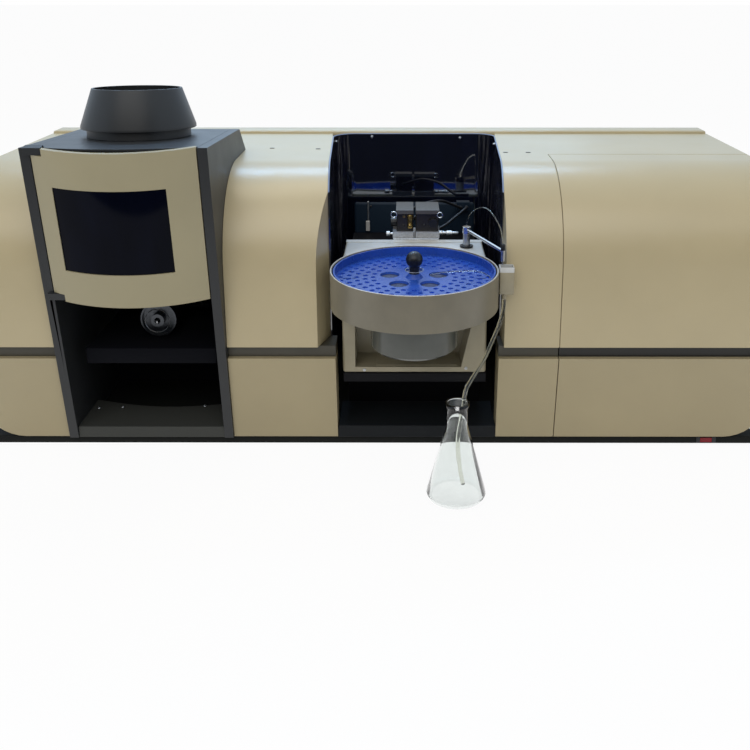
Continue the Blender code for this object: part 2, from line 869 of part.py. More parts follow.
def make_covers():
    """The painted upper covers and the lower panels, whose tops form the recessed band."""
    low = groove_top + seat_gap
    rear = cover_rear_y - seat_gap
    inside_low = groove_bottom
    cavity_rear = cover_rear_y + overrun
    upper_bay = slab("upper_bay_space", bay_plan(-return_left, return_right, seat_gap),
                     groove_bottom - overrun, top_height + overrun, "xy")
    lower_bay = slab("lower_bay_space", low_bay_plan(seat_gap), -overrun, groove_top + overrun, "xy")
    inner = cover_profile(cover_wall, inside_low, cavity_rear)

    left = slab("left_cover", cover_profile(0, low, rear), left_end_x, hood_left_x - seat_gap, "yz",
                cream, smooth=True)
    cut(left, slab("left_cavity", inner, left_end_x + cover_wall,
                   hood_left_x - cover_wall, "yz"))

    centre = slab("centre_cover", cover_profile(0, low, rear), hood_left_x + seat_gap,
                  bay_left_x + overrun, "yz", cream, smooth=True)
    behind = hood_end_y + seat_gap
    cut(centre,
        block("hood_space", (hood_left_x - overrun, -far, -far),
              (hood_right_x + seat_gap, behind, far)),
        upper_bay,
        slab("centre_cavity", inner, hood_right_x + cover_wall,
             bay_left_x - liner_left_flare - liner_wall - cover_wall - seat_gap, "yz"),
        block("rear_deck_cavity", (hood_left_x + cover_wall, behind + cover_wall, -far),
              (hood_right_x + cover_wall * 2, far, top_height - cover_wall)))

    lid_room = offset_path(cover_profile(0, low, rear)[:-2], lid_wall + lid_joint_gap / 4)
    envelope = cover_profile(-overrun, low - overrun, lid_rear_y + lid_joint_gap)[:-1]
    inner_edge = [point for point in lid_room if point[0] < lid_rear_y]
    inner_edge.append((lid_rear_y + lid_joint_gap, inner_edge[-1][1]))
    start = (inner_edge[0][0], low - overrun)
    right = slab("right_cover", cover_profile(0, low, rear), bay_right_x - overrun, half_width, "yz",
                 cream, smooth=True)
    cut(right,
        upper_bay,
        slab("lid_space", envelope + inner_edge[::-1] + [start], lid_left_x - seam_gap,
             half_width + overrun, "yz"),
        slab("right_cavity", inner, bay_right_x + liner_right_flare + liner_wall + cover_wall + seat_gap,
             lid_left_x - seam_gap - cover_wall, "yz"),
        slab("lamp_cavity", cover_profile(cover_wall + lid_joint_gap, inside_low, cavity_rear),
             lid_left_x - seam_gap, half_width - end_reveal - end_wall, "yz"),
        block("deck_cavity", (lid_left_x - seam_gap, lid_rear_y + lid_joint_gap + cover_wall, -far),
              (half_width - end_reveal - end_wall, far, top_height - cover_wall)),
        block("end_trim", (half_width - end_reveal, -far, -far),
              (half_width + overrun, lid_rear_y + lid_joint_gap, far)))

    lean_low = base_top + seat_gap
    outer_low = panel_profile(0, lean_low, rear)
    inner_low = panel_profile(cover_wall, -overrun, cavity_rear)
    for name, x_low, x_high, cavity_low, cavity_high, side in (
            ("left_lower_panel", left_end_x, hood_left_x - seat_gap,
             left_end_x + cover_wall, hood_left_x - cover_wall, -1),
            ("centre_lower_panel", hood_right_x + seat_gap, bay_left_x + overrun * 2,
             hood_right_x + cover_wall,
             bay_left_x - liner_left_flare - liner_wall - cover_wall - seat_gap, 0),
            ("furnace_side_panel", bay_right_x - overrun, lid_left_x - seam_gap,
             bay_right_x + liner_right_flare + liner_wall + cover_wall + seat_gap,
             lid_left_x - seam_gap - cover_wall, 0),
            ("right_lower_panel", lid_left_x, half_width, lid_left_x + cover_wall,
             half_width - cover_wall, 1)):
        panel = slab(name, outer_low, x_low, x_high, "yz", cream)
        cavity = slab(name + "_cavity", inner_low, cavity_low, cavity_high, "yz")
        if side:
            keep(panel, end_rounding(name + "_corner", side, 0))
            keep(cavity, end_rounding(name + "_inner_corner", side, cover_wall))
        else:
            cut(panel, lower_bay)
        cut(panel, cavity)


def make_lid():
    """The hinged cover over the lamps, bent to the housing's nose, and its hinge pin."""
    axis_y = lid_rear_y + lid_joint_gap / 2
    axis_z = top_height - lid_axis_drop
    pivot = (lid_left_x, axis_y, axis_z)
    path = cover_profile(0, groove_top + seat_gap, lid_rear_y)[:-1]
    slab("lamp_lid", sheet(path, lid_wall), lid_left_x, half_width, "yz", cream, pivot=pivot,
         smooth=True)
    rod("lid_hinge_pin", (lid_left_x, axis_y, axis_z), half_width - lid_left_x, lid_pin_radius, "x",
        charcoal, 10)


def make_base():
    """The base tray with its front strip and the feet below it."""
    low = foot_height
    base = block("base_tray", (left_end_x + base_inset, panel_lean + base_setback, low),
                 (half_width - base_inset, body_depth - base_inset, base_top), base_grey, overrun / 4)
    centre_x = half_width - switch_from_right
    pocket_low = base_top - (base_height + switch_height) / 2
    cut(base, block("switch_pocket",
                    (centre_x - switch_width / 2 - seat_gap, -far, pocket_low - seat_gap),
                    (centre_x + switch_width / 2 + seat_gap,
                     panel_lean + base_setback + switch_depth + seat_gap,
                     pocket_low + switch_height + seat_gap)))
    spots = []
    for side in (-1, 1):
        for share in foot_place_shares:
            spots.append((side * share * (half_width - foot_inset), foot_inset + panel_lean, 0))
            spots.append((side * share * (half_width - foot_inset), body_depth - foot_inset, 0))
    add(base, rod_group("rubber_feet", spots, foot_height + base_height / 2, foot_radius, "z", None,
                        16))


foot_place_shares = (1.0, 0.33)


def make_switch():
    """The rocker power switch in the front strip of the base."""
    centre_x = half_width - switch_from_right
    low = base_top - (base_height + switch_height) / 2
    front = panel_lean + base_setback
    bezel = block("switch_bezel", (centre_x - switch_width / 2, front - switch_flange, low),
                  (centre_x + switch_width / 2, front + switch_depth, low + switch_height),
                  knob_black, switch_flange / 4)
    middle_z = low + switch_height / 2
    gap = seat_gap
    room = block("rocker_room",
                 (centre_x - rocker_width / 2 - gap, -far, middle_z - rocker_height / 2 - gap * 3),
                 (centre_x + rocker_width / 2 + gap, front + rocker_depth,
                  middle_z + rocker_height / 2 + gap * 3))
    cut(bezel, room)
    axis_y = front + rocker_depth / 2
    profile = [(front - rocker_proud, middle_z + rocker_height / 2),
               (front - switch_flange / 2, middle_z),
               (front - rocker_proud, middle_z - rocker_height / 2),
               (axis_y, middle_z - rocker_height / 2), (axis_y, middle_z + rocker_height / 2)]
    slab("power_rocker", profile, centre_x - rocker_width / 2, centre_x + rocker_width / 2, "yz",
         switch_red, pivot=(centre_x, axis_y, middle_z))


def make_rear():
    """The rear cover: a shallow box with a raised lip, fan opening and vents."""
    low = base_top + seat_gap
    high = top_height + rear_lip_rise
    rear = block("rear_cover", (left_end_x, cover_rear_y, low), (half_width, body_depth, high), cream,
                 rear_bevel)
    cuts = [block("rear_hollow", (left_end_x + rear_wall, cover_rear_y - overrun, low + rear_wall),
                  (half_width - rear_wall, body_depth - rear_wall, high - rear_wall - rear_lip_rise))]
    fan_x = left_end_x + fan_from_left
    cuts.append(rod("fan_opening", (fan_x, body_depth - rear_wall - overrun, fan_height),
                    rear_wall + overrun * 2, fan_opening_radius, "y", None, 28))
    vents = bmesh.new()
    for side in (-1, 1):
        for index in range(vent_count):
            middle = Vector((side * half_width / 2, body_depth, vent_top - index * vent_pitch))
            made = bmesh.ops.create_cube(vents, size=1)["verts"]
            bmesh.ops.scale(vents, vec=(vent_length, overrun * 4, vent_height), verts=made)
            bmesh.ops.translate(vents, vec=middle, verts=made)
    mesh = bpy.data.meshes.new("vent_slots")
    vents.to_mesh(mesh)
    vents.free()
    cuts.append(finish("vent_slots", mesh, None, (0, 0, 0), (0, 0, 0), None, False))
    inlet_x = half_width - inlet_from_right
    gas_x = left_end_x + gas_panel_from_left
    for name, x, z, size_x, size_z in (
            ("inlet_room", inlet_x, inlet_height, inlet_size_x, inlet_size_z),
            ("gas_panel_room", gas_x, gas_panel_height, gas_panel_size_x, gas_panel_size_z)):
        reach_x = size_x / 2 + seat_gap
        reach_z = size_z / 2 + seat_gap
        cuts.append(block(name, (x - reach_x, body_depth - rear_wall - overrun, z - reach_z),
                          (x + reach_x, body_depth + overrun, z + reach_z)))
    cut(rear, *cuts)
    make_fan(fan_x)
    make_inlet(inlet_x)
    make_gas_panel(gas_x)


def make_fan(fan_x):
    """The cooling fan behind its opening: a frame with the motor, the rotor and a guard."""
    turn = (math.radians(90), 0, 0)
    frame_rear = body_depth - rear_wall - seat_gap
    frame_front = frame_rear - fan_frame_depth
    outer = fan_opening_radius + fan_frame_wall
    frame = turned("fan_frame", [(outer, fan_frame_depth), (outer, 0), (fan_opening_radius, 0),
                                 (fan_opening_radius, fan_frame_depth)], knob_black,
                   (fan_x, frame_rear, fan_height), 28, turn)
    reach = fan_opening_radius + fan_frame_wall / 2
    half_strut = fan_strut / 2
    add(frame,
        block("fan_strut_x", (fan_x - reach, frame_front, fan_height - half_strut),
              (fan_x + reach, frame_front + fan_strut, fan_height + half_strut)),
        block("fan_strut_z", (fan_x - half_strut, frame_front, fan_height - reach),
              (fan_x + half_strut, frame_front + fan_strut, fan_height + reach)),
        rod("fan_motor", (fan_x, frame_front, fan_height), fan_strut, fan_motor_radius, "y", None, 20),
        rod("fan_pin", (fan_x, frame_front, fan_height), fan_strut + fan_pin_reach, fan_pin_radius,
            "y", None, 10))

    rotor_rear = frame_front + fan_strut + fan_axial_gap + fan_hub_depth
    bore = fan_pin_radius + seat_gap
    bore_low = fan_hub_depth + fan_axial_gap - fan_pin_reach - seat_gap
    place = (fan_x, rotor_rear, fan_height)
    rotor = turned("rear_fan", [(fan_hub_radius, fan_hub_depth), (fan_hub_radius, 0), (0, 0),
                                (0, bore_low), (bore, bore_low), (bore, fan_hub_depth)], knob_black,
                   place, 20, turn)
    blades = bmesh.new()
    inner = fan_hub_radius - fan_root
    for index in range(fan_blade_count):
        made = bmesh.ops.create_cube(blades, size=1)["verts"]
        bmesh.ops.scale(blades, vec=(fan_blade_reach - inner, fan_blade_width, fan_blade_wall),
                        verts=made)
        bmesh.ops.rotate(blades, matrix=Matrix.Rotation(math.radians(fan_blade_pitch), 3, "X"),
                         verts=made)
        bmesh.ops.translate(blades, vec=((fan_blade_reach + inner) / 2, 0, fan_hub_depth / 2),
                            verts=made)
        bmesh.ops.rotate(blades, matrix=Matrix.Rotation(math.tau * index / fan_blade_count, 3, "Z"),
                         verts=made)
    mesh = bpy.data.meshes.new("fan_blades")
    blades.to_mesh(mesh)
    blades.free()
    add(rotor, finish("fan_blades", mesh, None, place, turn, None, False))

    rings = []
    for index in range(guard_ring_count):
        ring_outer = fan_opening_radius - seat_gap - index * guard_ring_pitch
        ring_inner = ring_outer - guard_ring_width
        rings.append(turned("guard_ring" if index else "fan_guard",
                            [(ring_outer, guard_wall), (ring_outer, 0), (ring_inner, 0),
                             (ring_inner, guard_wall)], None if index else steel,
                            (fan_x, body_depth, fan_height), 24, turn))
    reach = fan_opening_radius - seat_gap - guard_ring_width / 2
    half_bar = guard_ring_width / 2
    guard_front = body_depth - guard_wall
    add(rings[0], *rings[1:],
        block("guard_bar_x", (fan_x - reach, guard_front, fan_height - half_bar),
              (fan_x + reach, body_depth, fan_height + half_bar)),
        block("guard_bar_z", (fan_x - half_bar, guard_front, fan_height - reach),
              (fan_x + half_bar, body_depth, fan_height + reach)))


def make_inlet(inlet_x):
    """The mains inlet: a socket set flush in the rear cover, with three pins."""
    front = body_depth - inlet_depth
    reach_x = inlet_size_x / 2
    reach_z = inlet_size_z / 2
    inlet = block("mains_inlet", (inlet_x - reach_x, front, inlet_height - reach_z),
                  (inlet_x + reach_x, body_depth, inlet_height + reach_z), knob_black)
    cut(inlet, block("inlet_socket", (inlet_x - reach_x + inlet_rim, front + inlet_rim,
                                      inlet_height - reach_z + inlet_rim),
                     (inlet_x + reach_x - inlet_rim, body_depth + overrun,
                      inlet_height + reach_z - inlet_rim)))
    for side, rise in ((-1, -inlet_pin_rise), (0, inlet_pin_rise), (1, -inlet_pin_rise)):
        x = inlet_x + side * inlet_pin_pitch
        z = inlet_height + rise
        add(inlet, block("inlet_pin", (x - inlet_pin_width / 2, front + inlet_rim / 2,
                                       z - inlet_pin_height / 2),
                         (x + inlet_pin_width / 2, body_depth - inlet_rim, z + inlet_pin_height / 2)))


def make_gas_panel(gas_x):
    """The sunk panel with the threaded stubs for fuel, oxidant and inert gas."""
    front = body_depth - gas_panel_depth
    reach_x = gas_panel_size_x / 2
    reach_z = gas_panel_size_z / 2
    panel = block("gas_inlet_panel", (gas_x - reach_x, front, gas_panel_height - reach_z),
                  (gas_x + reach_x, body_depth, gas_panel_height + reach_z), steel)
    floor_y = front + rear_wall
    cut(panel, block("gas_pan", (gas_x - reach_x + rear_wall, floor_y,
                                 gas_panel_height - reach_z + rear_wall),
                     (gas_x + reach_x - rear_wall, body_depth + overrun,
                      gas_panel_height + reach_z - rear_wall)))
    stubs = [(gas_x + side * gas_stub_pitch, floor_y - rear_wall / 2, gas_panel_height)
             for side in (-1, 0, 1)]
    add(panel, rod_group("gas_stubs", stubs, gas_stub_length + rear_wall / 2, gas_stub_radius, "y",
                         None, 12))
    bores = [(x, floor_y, z) for x, y, z in stubs]
    cut(panel, rod_group("gas_bores", bores, gas_stub_length + overrun, gas_bore_radius, "y", None,
                         10))


def make_hood():
    """The charcoal frame of the flame bay: two side plates, the roof, the back and the chimney."""
    outline = [(hood_foot_y, base_top + seat_gap), (-hood_reach, hood_front_height),
               (hood_rear_y, hood_rear_height), (hood_end_y, top_height),
               (hood_end_y, base_top + seat_gap)]
    left_plate = slab("hood_left_plate", outline, hood_left_x, bay_inner_left_x, "yz", charcoal)
    slab("hood_right_plate", outline, bay_inner_right_x, hood_right_x, "yz", charcoal)

    left = bay_inner_left_x + seat_gap
    right = bay_inner_right_x - seat_gap
    block("flame_back_wall", (left, hood_end_y - hood_back_wall, base_top + seat_gap),
          (right, hood_end_y - seat_gap, top_height - hood_sheet), bay_black)

    slope = math.tan(roof_slope)
    front_y = -hood_reach - door_bow - overrun
    path = [(front_y, hood_front_height + slope * (front_y + hood_reach)),
            (hood_rear_y, hood_rear_height), (hood_end_y - seat_gap, top_height)]
    roof = slab("hood_roof", sheet(path, hood_sheet), left, right, "yz", charcoal)
    roof_reach = hood_reach - door_wall - roof_setback
    keep(roof, slab("roof_outline", bowed_plan(left, right, roof_reach, hood_end_y + overrun),
                    top_height - overrun, hood_front_height + overrun * 3, "xy"))
    centre_x = (left + right) / 2 + chimney_offset
    chimney_z = hood_front_height + slope * (chimney_y + hood_reach)
    roof_frame = anchor("hood_roof_frame", (centre_x, chimney_y, chimney_z), (roof_slope, 0, 0))
    cut(roof, rod("chimney_opening", (0, 0, -overrun * 2), overrun * 4, neck_bore_radius, "z", None,
                  32, parent=roof_frame))
    base = seat_gap
    low = base + neck_height
    wall = collar_wall
    turned("chimney_collar",
           [(collar_rim_radius, low + collar_height), (collar_base_radius, low + collar_foot),
            (collar_base_radius, low), (neck_radius, low), (neck_radius, base),
            (neck_bore_radius, base), (neck_bore_radius, low + wall),
            (collar_base_radius - wall - collar_foot, low + wall + collar_foot),
            (collar_rim_radius - wall, low + collar_height)], charcoal, steps=40, parent=roof_frame)
    return left_plate, roof


def bowed_plan(left, right, reach, back):
    """Plan outline with a front edge that bows outward as the door does."""
    half = (right - left) / 2
    radius = (half ** 2 + door_bow ** 2) / (2 * door_bow)
    centre_y = -reach - door_bow + radius
    middle = (left + right) / 2
    spread = math.degrees(math.asin(half / radius))
    front = arc(middle, centre_y, radius, -90 - spread, -90 + spread, door_steps)
    return front + [(right, back), (left, back)]


def make_door(left_plate, roof):
    """The bowed flame door, its window, and the pivots that carry it on the left plate."""
    foot_z = base_top
    tilt = (hood_lean, 0, 0)
    climb = math.cos(hood_lean)
    frame = anchor("hood_front_frame", (0, hood_foot_y, foot_z), tilt)
    low = (door_bottom - foot_z) / climb
    high = low + door_height / climb
    left = bay_inner_left_x + door_side_gap
    right = bay_inner_right_x - door_side_gap
    half = (right - left) / 2
    middle = (left + right) / 2
    radius = (half ** 2 + door_bow ** 2) / (2 * door_bow)
    spread = math.degrees(math.asin(half / radius))
    centre_v = -door_bow + radius
    outer = arc(middle, centre_v, radius, -90 - spread, -90 + spread, door_steps)
    inner = arc(middle, centre_v, radius - door_wall, -90 - spread, -90 + spread, door_steps)
    axis = Vector((bay_inner_left_x + door_axis_from_plate, door_axis_back, low))
    inner_left = (left, inner[0][1])
    inner_right = (right, inner[-1][1])
    outline = outer + [inner_right] + inner[::-1] + [inner_left]
    hinge = anchor("flame_door_axis", tuple(axis), parent=frame)
    door = slab("flame_door", outline, low, high, "xy", cream, pivot=tuple(axis), smooth=True)
    door.parent = hinge
    door.location = (0, 0, 0)
    notch_x = bay_inner_left_x + bracket_width + door_side_gap
    room = bracket_depth + overrun
    notches = []
    for name, notch_low, notch_high in (
            ("low_notch", low - overrun, low + bracket_height),
            ("high_notch", high - bracket_height, high + overrun)):
        notches.append(block(name, (left - overrun, -room, notch_low), (notch_x, room, notch_high),
                             parent=frame))
    holes = rod_group("pivot_holes",
                      [(axis.x, axis.y, low + bracket_height - seat_gap),
                       (axis.x, axis.y, high - bracket_height - hinge_pin_reach - overrun + seat_gap)],
                      hinge_pin_reach + overrun, hinge_hole_radius, "z", None, 10, parent=frame)
    opening_left = left + window_left
    opening = block("window_opening", (opening_left, -far, low + window_bottom / climb),
                    (opening_left + window_width, liner_front_y,
                     low + (window_bottom + window_height) / climb), parent=frame)
    cut(door, opening, holes, *notches)
    cut(roof, block("roof_notch", (left - overrun, -room, high - bracket_height),
                    (notch_x, bracket_depth + seat_gap, high + overrun), parent=frame))

    glass_radius = radius - (door_wall - window_wall) / 2
    pane_gap = seat_gap
    half_angle_left = -90 - math.degrees(math.asin((middle - opening_left - pane_gap) / glass_radius))
    half_angle_right = -90 + math.degrees(
        math.asin((opening_left + window_width - pane_gap - middle) / glass_radius))
    pane_outer = arc(middle, centre_v, glass_radius, half_angle_left, half_angle_right, door_steps)
    pane_inner = arc(middle, centre_v, glass_radius - window_wall, half_angle_left, half_angle_right,
                     door_steps)
    pane = slab("door_window", pane_outer + pane_inner[::-1], low + window_bottom / climb + pane_gap,
                low + (window_bottom + window_height) / climb - pane_gap, "xy", window_dark,
                pivot=tuple(axis), smooth=True)
    pane.parent = hinge
    pane.location = (0, 0, 0)

    for name, z_low, pin_low in (
            ("low_bracket", low - seat_gap, low + bracket_height / 2),
            ("high_bracket", high - bracket_height + seat_gap * 2,
             high - bracket_height - hinge_pin_reach)):
        add(left_plate,
            block(name, (bay_inner_left_x - hood_plate / 2, -bracket_depth / 2, z_low),
                  (bay_inner_left_x + bracket_width, bracket_depth,
                   z_low + bracket_height - seat_gap), parent=frame),
            rod(name + "_pin", (axis.x, axis.y, pin_low), hinge_pin_reach + bracket_height / 2,
                hinge_pin_radius, "z", None, 8, parent=frame))


def make_flame_bay():
    """The table, the sill and the burner with its spray chamber and height adjuster."""
    left = bay_inner_left_x + seat_gap
    right = bay_inner_right_x - seat_gap
    back = hood_end_y - hood_back_wall - seat_gap
    block("burner_table", (bay_inner_left_x + table_left_gap, table_front_y,
                           table_height - table_thickness),
          (bay_inner_right_x - table_right_gap, back, table_height), bay_black, seat_gap * 4)
    sag = (sill_rear_left_y + sill_rear_right_y) / 2 - sill_rear_mid_y
    rear_edge = []
    for step in range(sill_steps + 1):
        share = step / sill_steps
        base_y = sill_rear_right_y + (sill_rear_left_y - sill_rear_right_y) * share
        rear_edge.append((right + (left - right) * share,
                          base_y - sag * math.sin(math.pi * share)))
    slab("flame_bay_sill", [(left, sill_front_y), (right, sill_front_y)] + rear_edge,
         base_top + seat_gap, sill_height, "xy", base_grey)

    head = block("burner_head", (burner_x - burner_length / 2, burner_y - burner_width / 2,
                                 burner_top - burner_height),
                 (burner_x + burner_length / 2, burner_y + burner_width / 2, burner_top), steel,
                 burner_width / 8, 2, pivot=(burner_x, burner_y, chamber_z))
    cut(head, block("burner_slot", (burner_x - burner_slot_length / 2, burner_y - burner_slot_width / 2,
                                    burner_top - burner_slot_depth),
                    (burner_x + burner_slot_length / 2, burner_y + burner_slot_width / 2,
                     burner_top + overrun)))
    chamber = rod("spray_chamber", (burner_x, chamber_front_y, chamber_z), chamber_length,
                  chamber_radius, "y", knob_black, 28, pivot=(burner_x, burner_y, chamber_z))
    neck_low = chamber_z + chamber_radius / 2
    add(chamber, rod("chamber_neck", (burner_x, burner_y, neck_low),
                     burner_top - burner_height - seat_gap - neck_low, neck_tube_radius, "z", None,
                     20))
    ring_rear = chamber_front_y - seat_gap
    ring_wall = nebulizer_hole_radius / 2
    dish = nebulizer_length / 2
    face = nebulizer_length + nebulizer_hub_length
    turned("nebulizer",
           [(nebulizer_radius, nebulizer_length), (nebulizer_radius, 0), (0, 0), (0, dish),
            (nebulizer_hole_radius, dish), (nebulizer_hole_radius, face), (nebulizer_hub_radius, face),
            (nebulizer_hub_radius, dish), (nebulizer_radius - ring_wall, dish),
            (nebulizer_radius - ring_wall, nebulizer_length)],
           steel, (burner_x, ring_rear, chamber_z), 28, (math.radians(90), 0, 0))

    carriage_front = chamber_front_y + chamber_length + seat_gap
    carriage = block("burner_carriage",
                     (burner_x - carriage_width / 2, carriage_front, chamber_z - carriage_drop),
                     (burner_x + carriage_width / 2, carriage_front + carriage_depth,
                      chamber_z - carriage_drop + carriage_height), dark_metal, seat_gap * 4, 1,
                     pivot=(burner_x, carriage_front, chamber_z))
    rods = []
    rod_y = carriage_front + carriage_depth / 2
    for side in (-1, 1):
        rods.append((burner_x + side * lift_rod_spread / 2, rod_y, table_height + seat_gap))
    rod_length = burner_top - burner_height - table_height
    cut(carriage, rod_group("lift_rod_holes", [(x, y, z - overrun) for x, y, z in rods],
                            rod_length + overrun * 2, lift_rod_radius + seat_gap, "z", None, 16))
    foot = block("burner_lift_frame",
                 (burner_x - carriage_width / 2, carriage_front, table_height + seat_gap),
                 (burner_x + carriage_width / 2, carriage_front + carriage_depth,
                  table_height + seat_gap + lift_rod_radius), steel)
    add(foot, rod_group("burner_lift_rods", [(x, y, z + lift_rod_radius / 2) for x, y, z in rods],
                        rod_length, lift_rod_radius, "z", None, 16))


def liner_path(rear):
    """Plan path of the furnace bay liner at one level, from its left front edge to the right."""
    left_front = bay_left_x - liner_wall
    right_front = bay_right_x + liner_wall
    share = (rear - liner_front_y) / (cover_rear_y - liner_front_y)
    corners = [(left_front, liner_front_y), (left_front - liner_left_flare * share, rear),
               (right_front + liner_right_flare * share, rear), (right_front, liner_front_y)]
    return fillet(corners, (0, liner_left_radius, liner_right_radius, 0))


def make_furnace_bay():
    """The glossy liner, the shelves and the dark panel at the back of the furnace bay."""
    rear = cover_rear_y - seat_gap
    liner = loft("furnace_liner", sheet(liner_path(rear - liner_rear_lean), liner_wall),
                 sheet(liner_path(rear), liner_wall), base_top + seat_gap, top_height, liner_black)
    keep(liner, slab("liner_profile", cover_profile(seat_gap, 0, cover_rear_y),
                     bay_left_x - liner_left_flare - overrun,
                     bay_right_x + liner_right_flare + overrun, "yz"))
    low_left = bay_left_x + low_lip_left
    low_right = bay_right_x - low_lip_right
    block("cavity_sill", (low_left + seat_gap, shelf_front_y, base_top + seat_gap),
          (low_right - seat_gap, shelf_front_y + cavity_sill_depth, cavity_sill_height), base_grey,
          seat_gap * 3, 1)
    shelf = block("bay_shelf", (bay_left_x + shelf_left_gap, shelf_front_y,
                                shelf_top - shelf_thickness),
                  (bay_right_x - shelf_right_gap, furnace_shelf_y + overrun, shelf_top), bay_black,
                  seat_gap * 3, 1)
    add(shelf,
        block("furnace_pedestal", (bay_left_x + shelf_left_gap, furnace_shelf_y,
                                   base_top + seat_gap),
              (bay_right_x - shelf_right_gap, back_panel_y - seat_gap, furnace_shelf_top)),
        block("furnace_column", (head_x - furnace_column_width / 2,
                                 head_y - furnace_column_depth / 2,
                                 furnace_shelf_top - shelf_thickness),
              (head_x + furnace_column_width / 2, head_y + furnace_column_depth / 2,
               furnace_column_top)))
    panel = block("furnace_back_panel",
                  (bay_left_x + back_panel_side, back_panel_y, base_top + seat_gap),
                  (bay_right_x - back_panel_side, back_panel_y + back_panel_wall, back_panel_top),
                  panel_blue, liner_wall * 2, 3)
    gland_x = head_x + gland_offset
    add(panel, block("lead_gland", (gland_x - gland_width / 2, back_panel_y - gland_depth,
                                    back_panel_top - gland_drop),
                     (gland_x + gland_width / 2, back_panel_y + back_panel_wall / 2,
                      back_panel_top + gland_rise)))


def make_sampler():
    """The autosampler body with its recess, the drum, the tray housing and the rack."""
    low = shelf_top + seat_gap
    body = block("sampler_body", (sampler_left, shelf_front_y, low),
                 (sampler_right, sampler_rear_y, sampler_top), ivory, sampler_bevel, 3)
    seat_z = tray_top - tray_height - seat_gap
    left = sampler_left + recess_left_cheek
    right = sampler_right - recess_right_cheek
    floor_z = low + recess_floor
    outline = [(left, floor_z), (right - recess_right_slant, floor_z), (right, floor_z + drum_height),
               (right, seat_z + overrun), (left, seat_z + overrun)]
    cut(body,
        rod("tray_seat", (tray_x, tray_y, seat_z), tray_height + overrun, tray_radius + seat_gap, "z",
            None, 64),
        slab("front_recess", outline, -far, shelf_front_y + recess_depth, "xz"))
    add(body, block("recess_floor_plate", (sampler_left + floor_plate_left, shelf_front_y + overrun,
                                           low + recess_floor / 2),
                    (sampler_right - floor_plate_right, shelf_front_y + recess_depth + overrun,
                     floor_z + floor_plate_thickness)))
    base = tray_top - tray_height
    turned("tray_housing",
           [(tray_radius, tray_top), (tray_radius, base), (0, base), (0, base + tray_floor),
            (tray_radius - tray_wall, base + tray_floor), (tray_radius - tray_wall, tray_top)],
           ivory, (tray_x, tray_y, 0), 64)
    drum_top = base - seat_gap
    turned("sampler_drum",
           [(drum_radius, drum_top), (drum_radius, drum_top - drum_height + drum_wall),
            (drum_radius - drum_wall, drum_top - drum_height), (0, drum_top - drum_height),
            (0, drum_top)], drum_grey, (tray_x, tray_y, 0), 40)

    rack_radius = tray_radius - tray_wall - rack_clearance
    rim = tray_top - rack_rim_drop
    hub_low = base + tray_floor + seat_gap
    rack = turned("carousel",
                  [(rack_radius, rim), (rack_radius, rack_top - rack_thickness),
                   (rack_hub_radius, rack_top - rack_thickness), (rack_hub_radius, hub_low),
                   (0, hub_low), (0, rack_top), (rack_radius - rack_wall, rack_top),
                   (rack_radius - rack_wall, rim)], rack_blue, (tray_x, tray_y, 0), 56)
    vials = []
    for ring in range(vial_rings):
        count = vial_first_count - ring * vial_count_step
        ring_radius = vial_outer_radius - ring * vial_ring_pitch
        for index in range(count):
            angle = math.tau * (index + ring / 2) / count
            vials.append((tray_x + ring_radius * math.cos(angle), tray_y + ring_radius * math.sin(angle),
                          rack_top - vial_depth))
    bottles = []
    for index in range(bottle_count):
        angle = math.tau * index / bottle_count + math.pi / 2
        bottles.append((tray_x + bottle_circle_radius * math.cos(angle),
                        tray_y + bottle_circle_radius * math.sin(angle), rack_top - vial_depth))
    foot = rack_top - knob_collar_height
    add(rack, turned("rack_collar", [(knob_neck_radius, rack_top + knob_collar_height),
                                     (knob_collar_radius, rack_top), (knob_collar_radius, foot),
                                     (0, foot), (0, rack_top + knob_collar_height)], None,
                     (tray_x, tray_y, 0), 24))
    cut(rack,
        rod_group("vial_holes", vials, vial_depth + overrun, vial_radius, "z", None, vial_sides),
        rod_group("bottle_holes", bottles, vial_depth + overrun, bottle_radius, "z", None,
                  bottle_sides))
    make_rack_knob()
    return body


def make_rack_knob():
    """The ball knob that lifts the rack out, on a blue collar."""
    low = rack_top + knob_collar_height + seat_gap
    ball = arc(0, rack_top + knob_ball_height, knob_ball_radius, 90, -50, 10)
    ball[0] = (0, ball[0][1])
    turned("rack_knob", ball + [(knob_waist_radius, low + knob_collar_height / 2),
                                (knob_neck_radius, low), (0, low)], knob_black,
           (tray_x, tray_y, 0), 24)


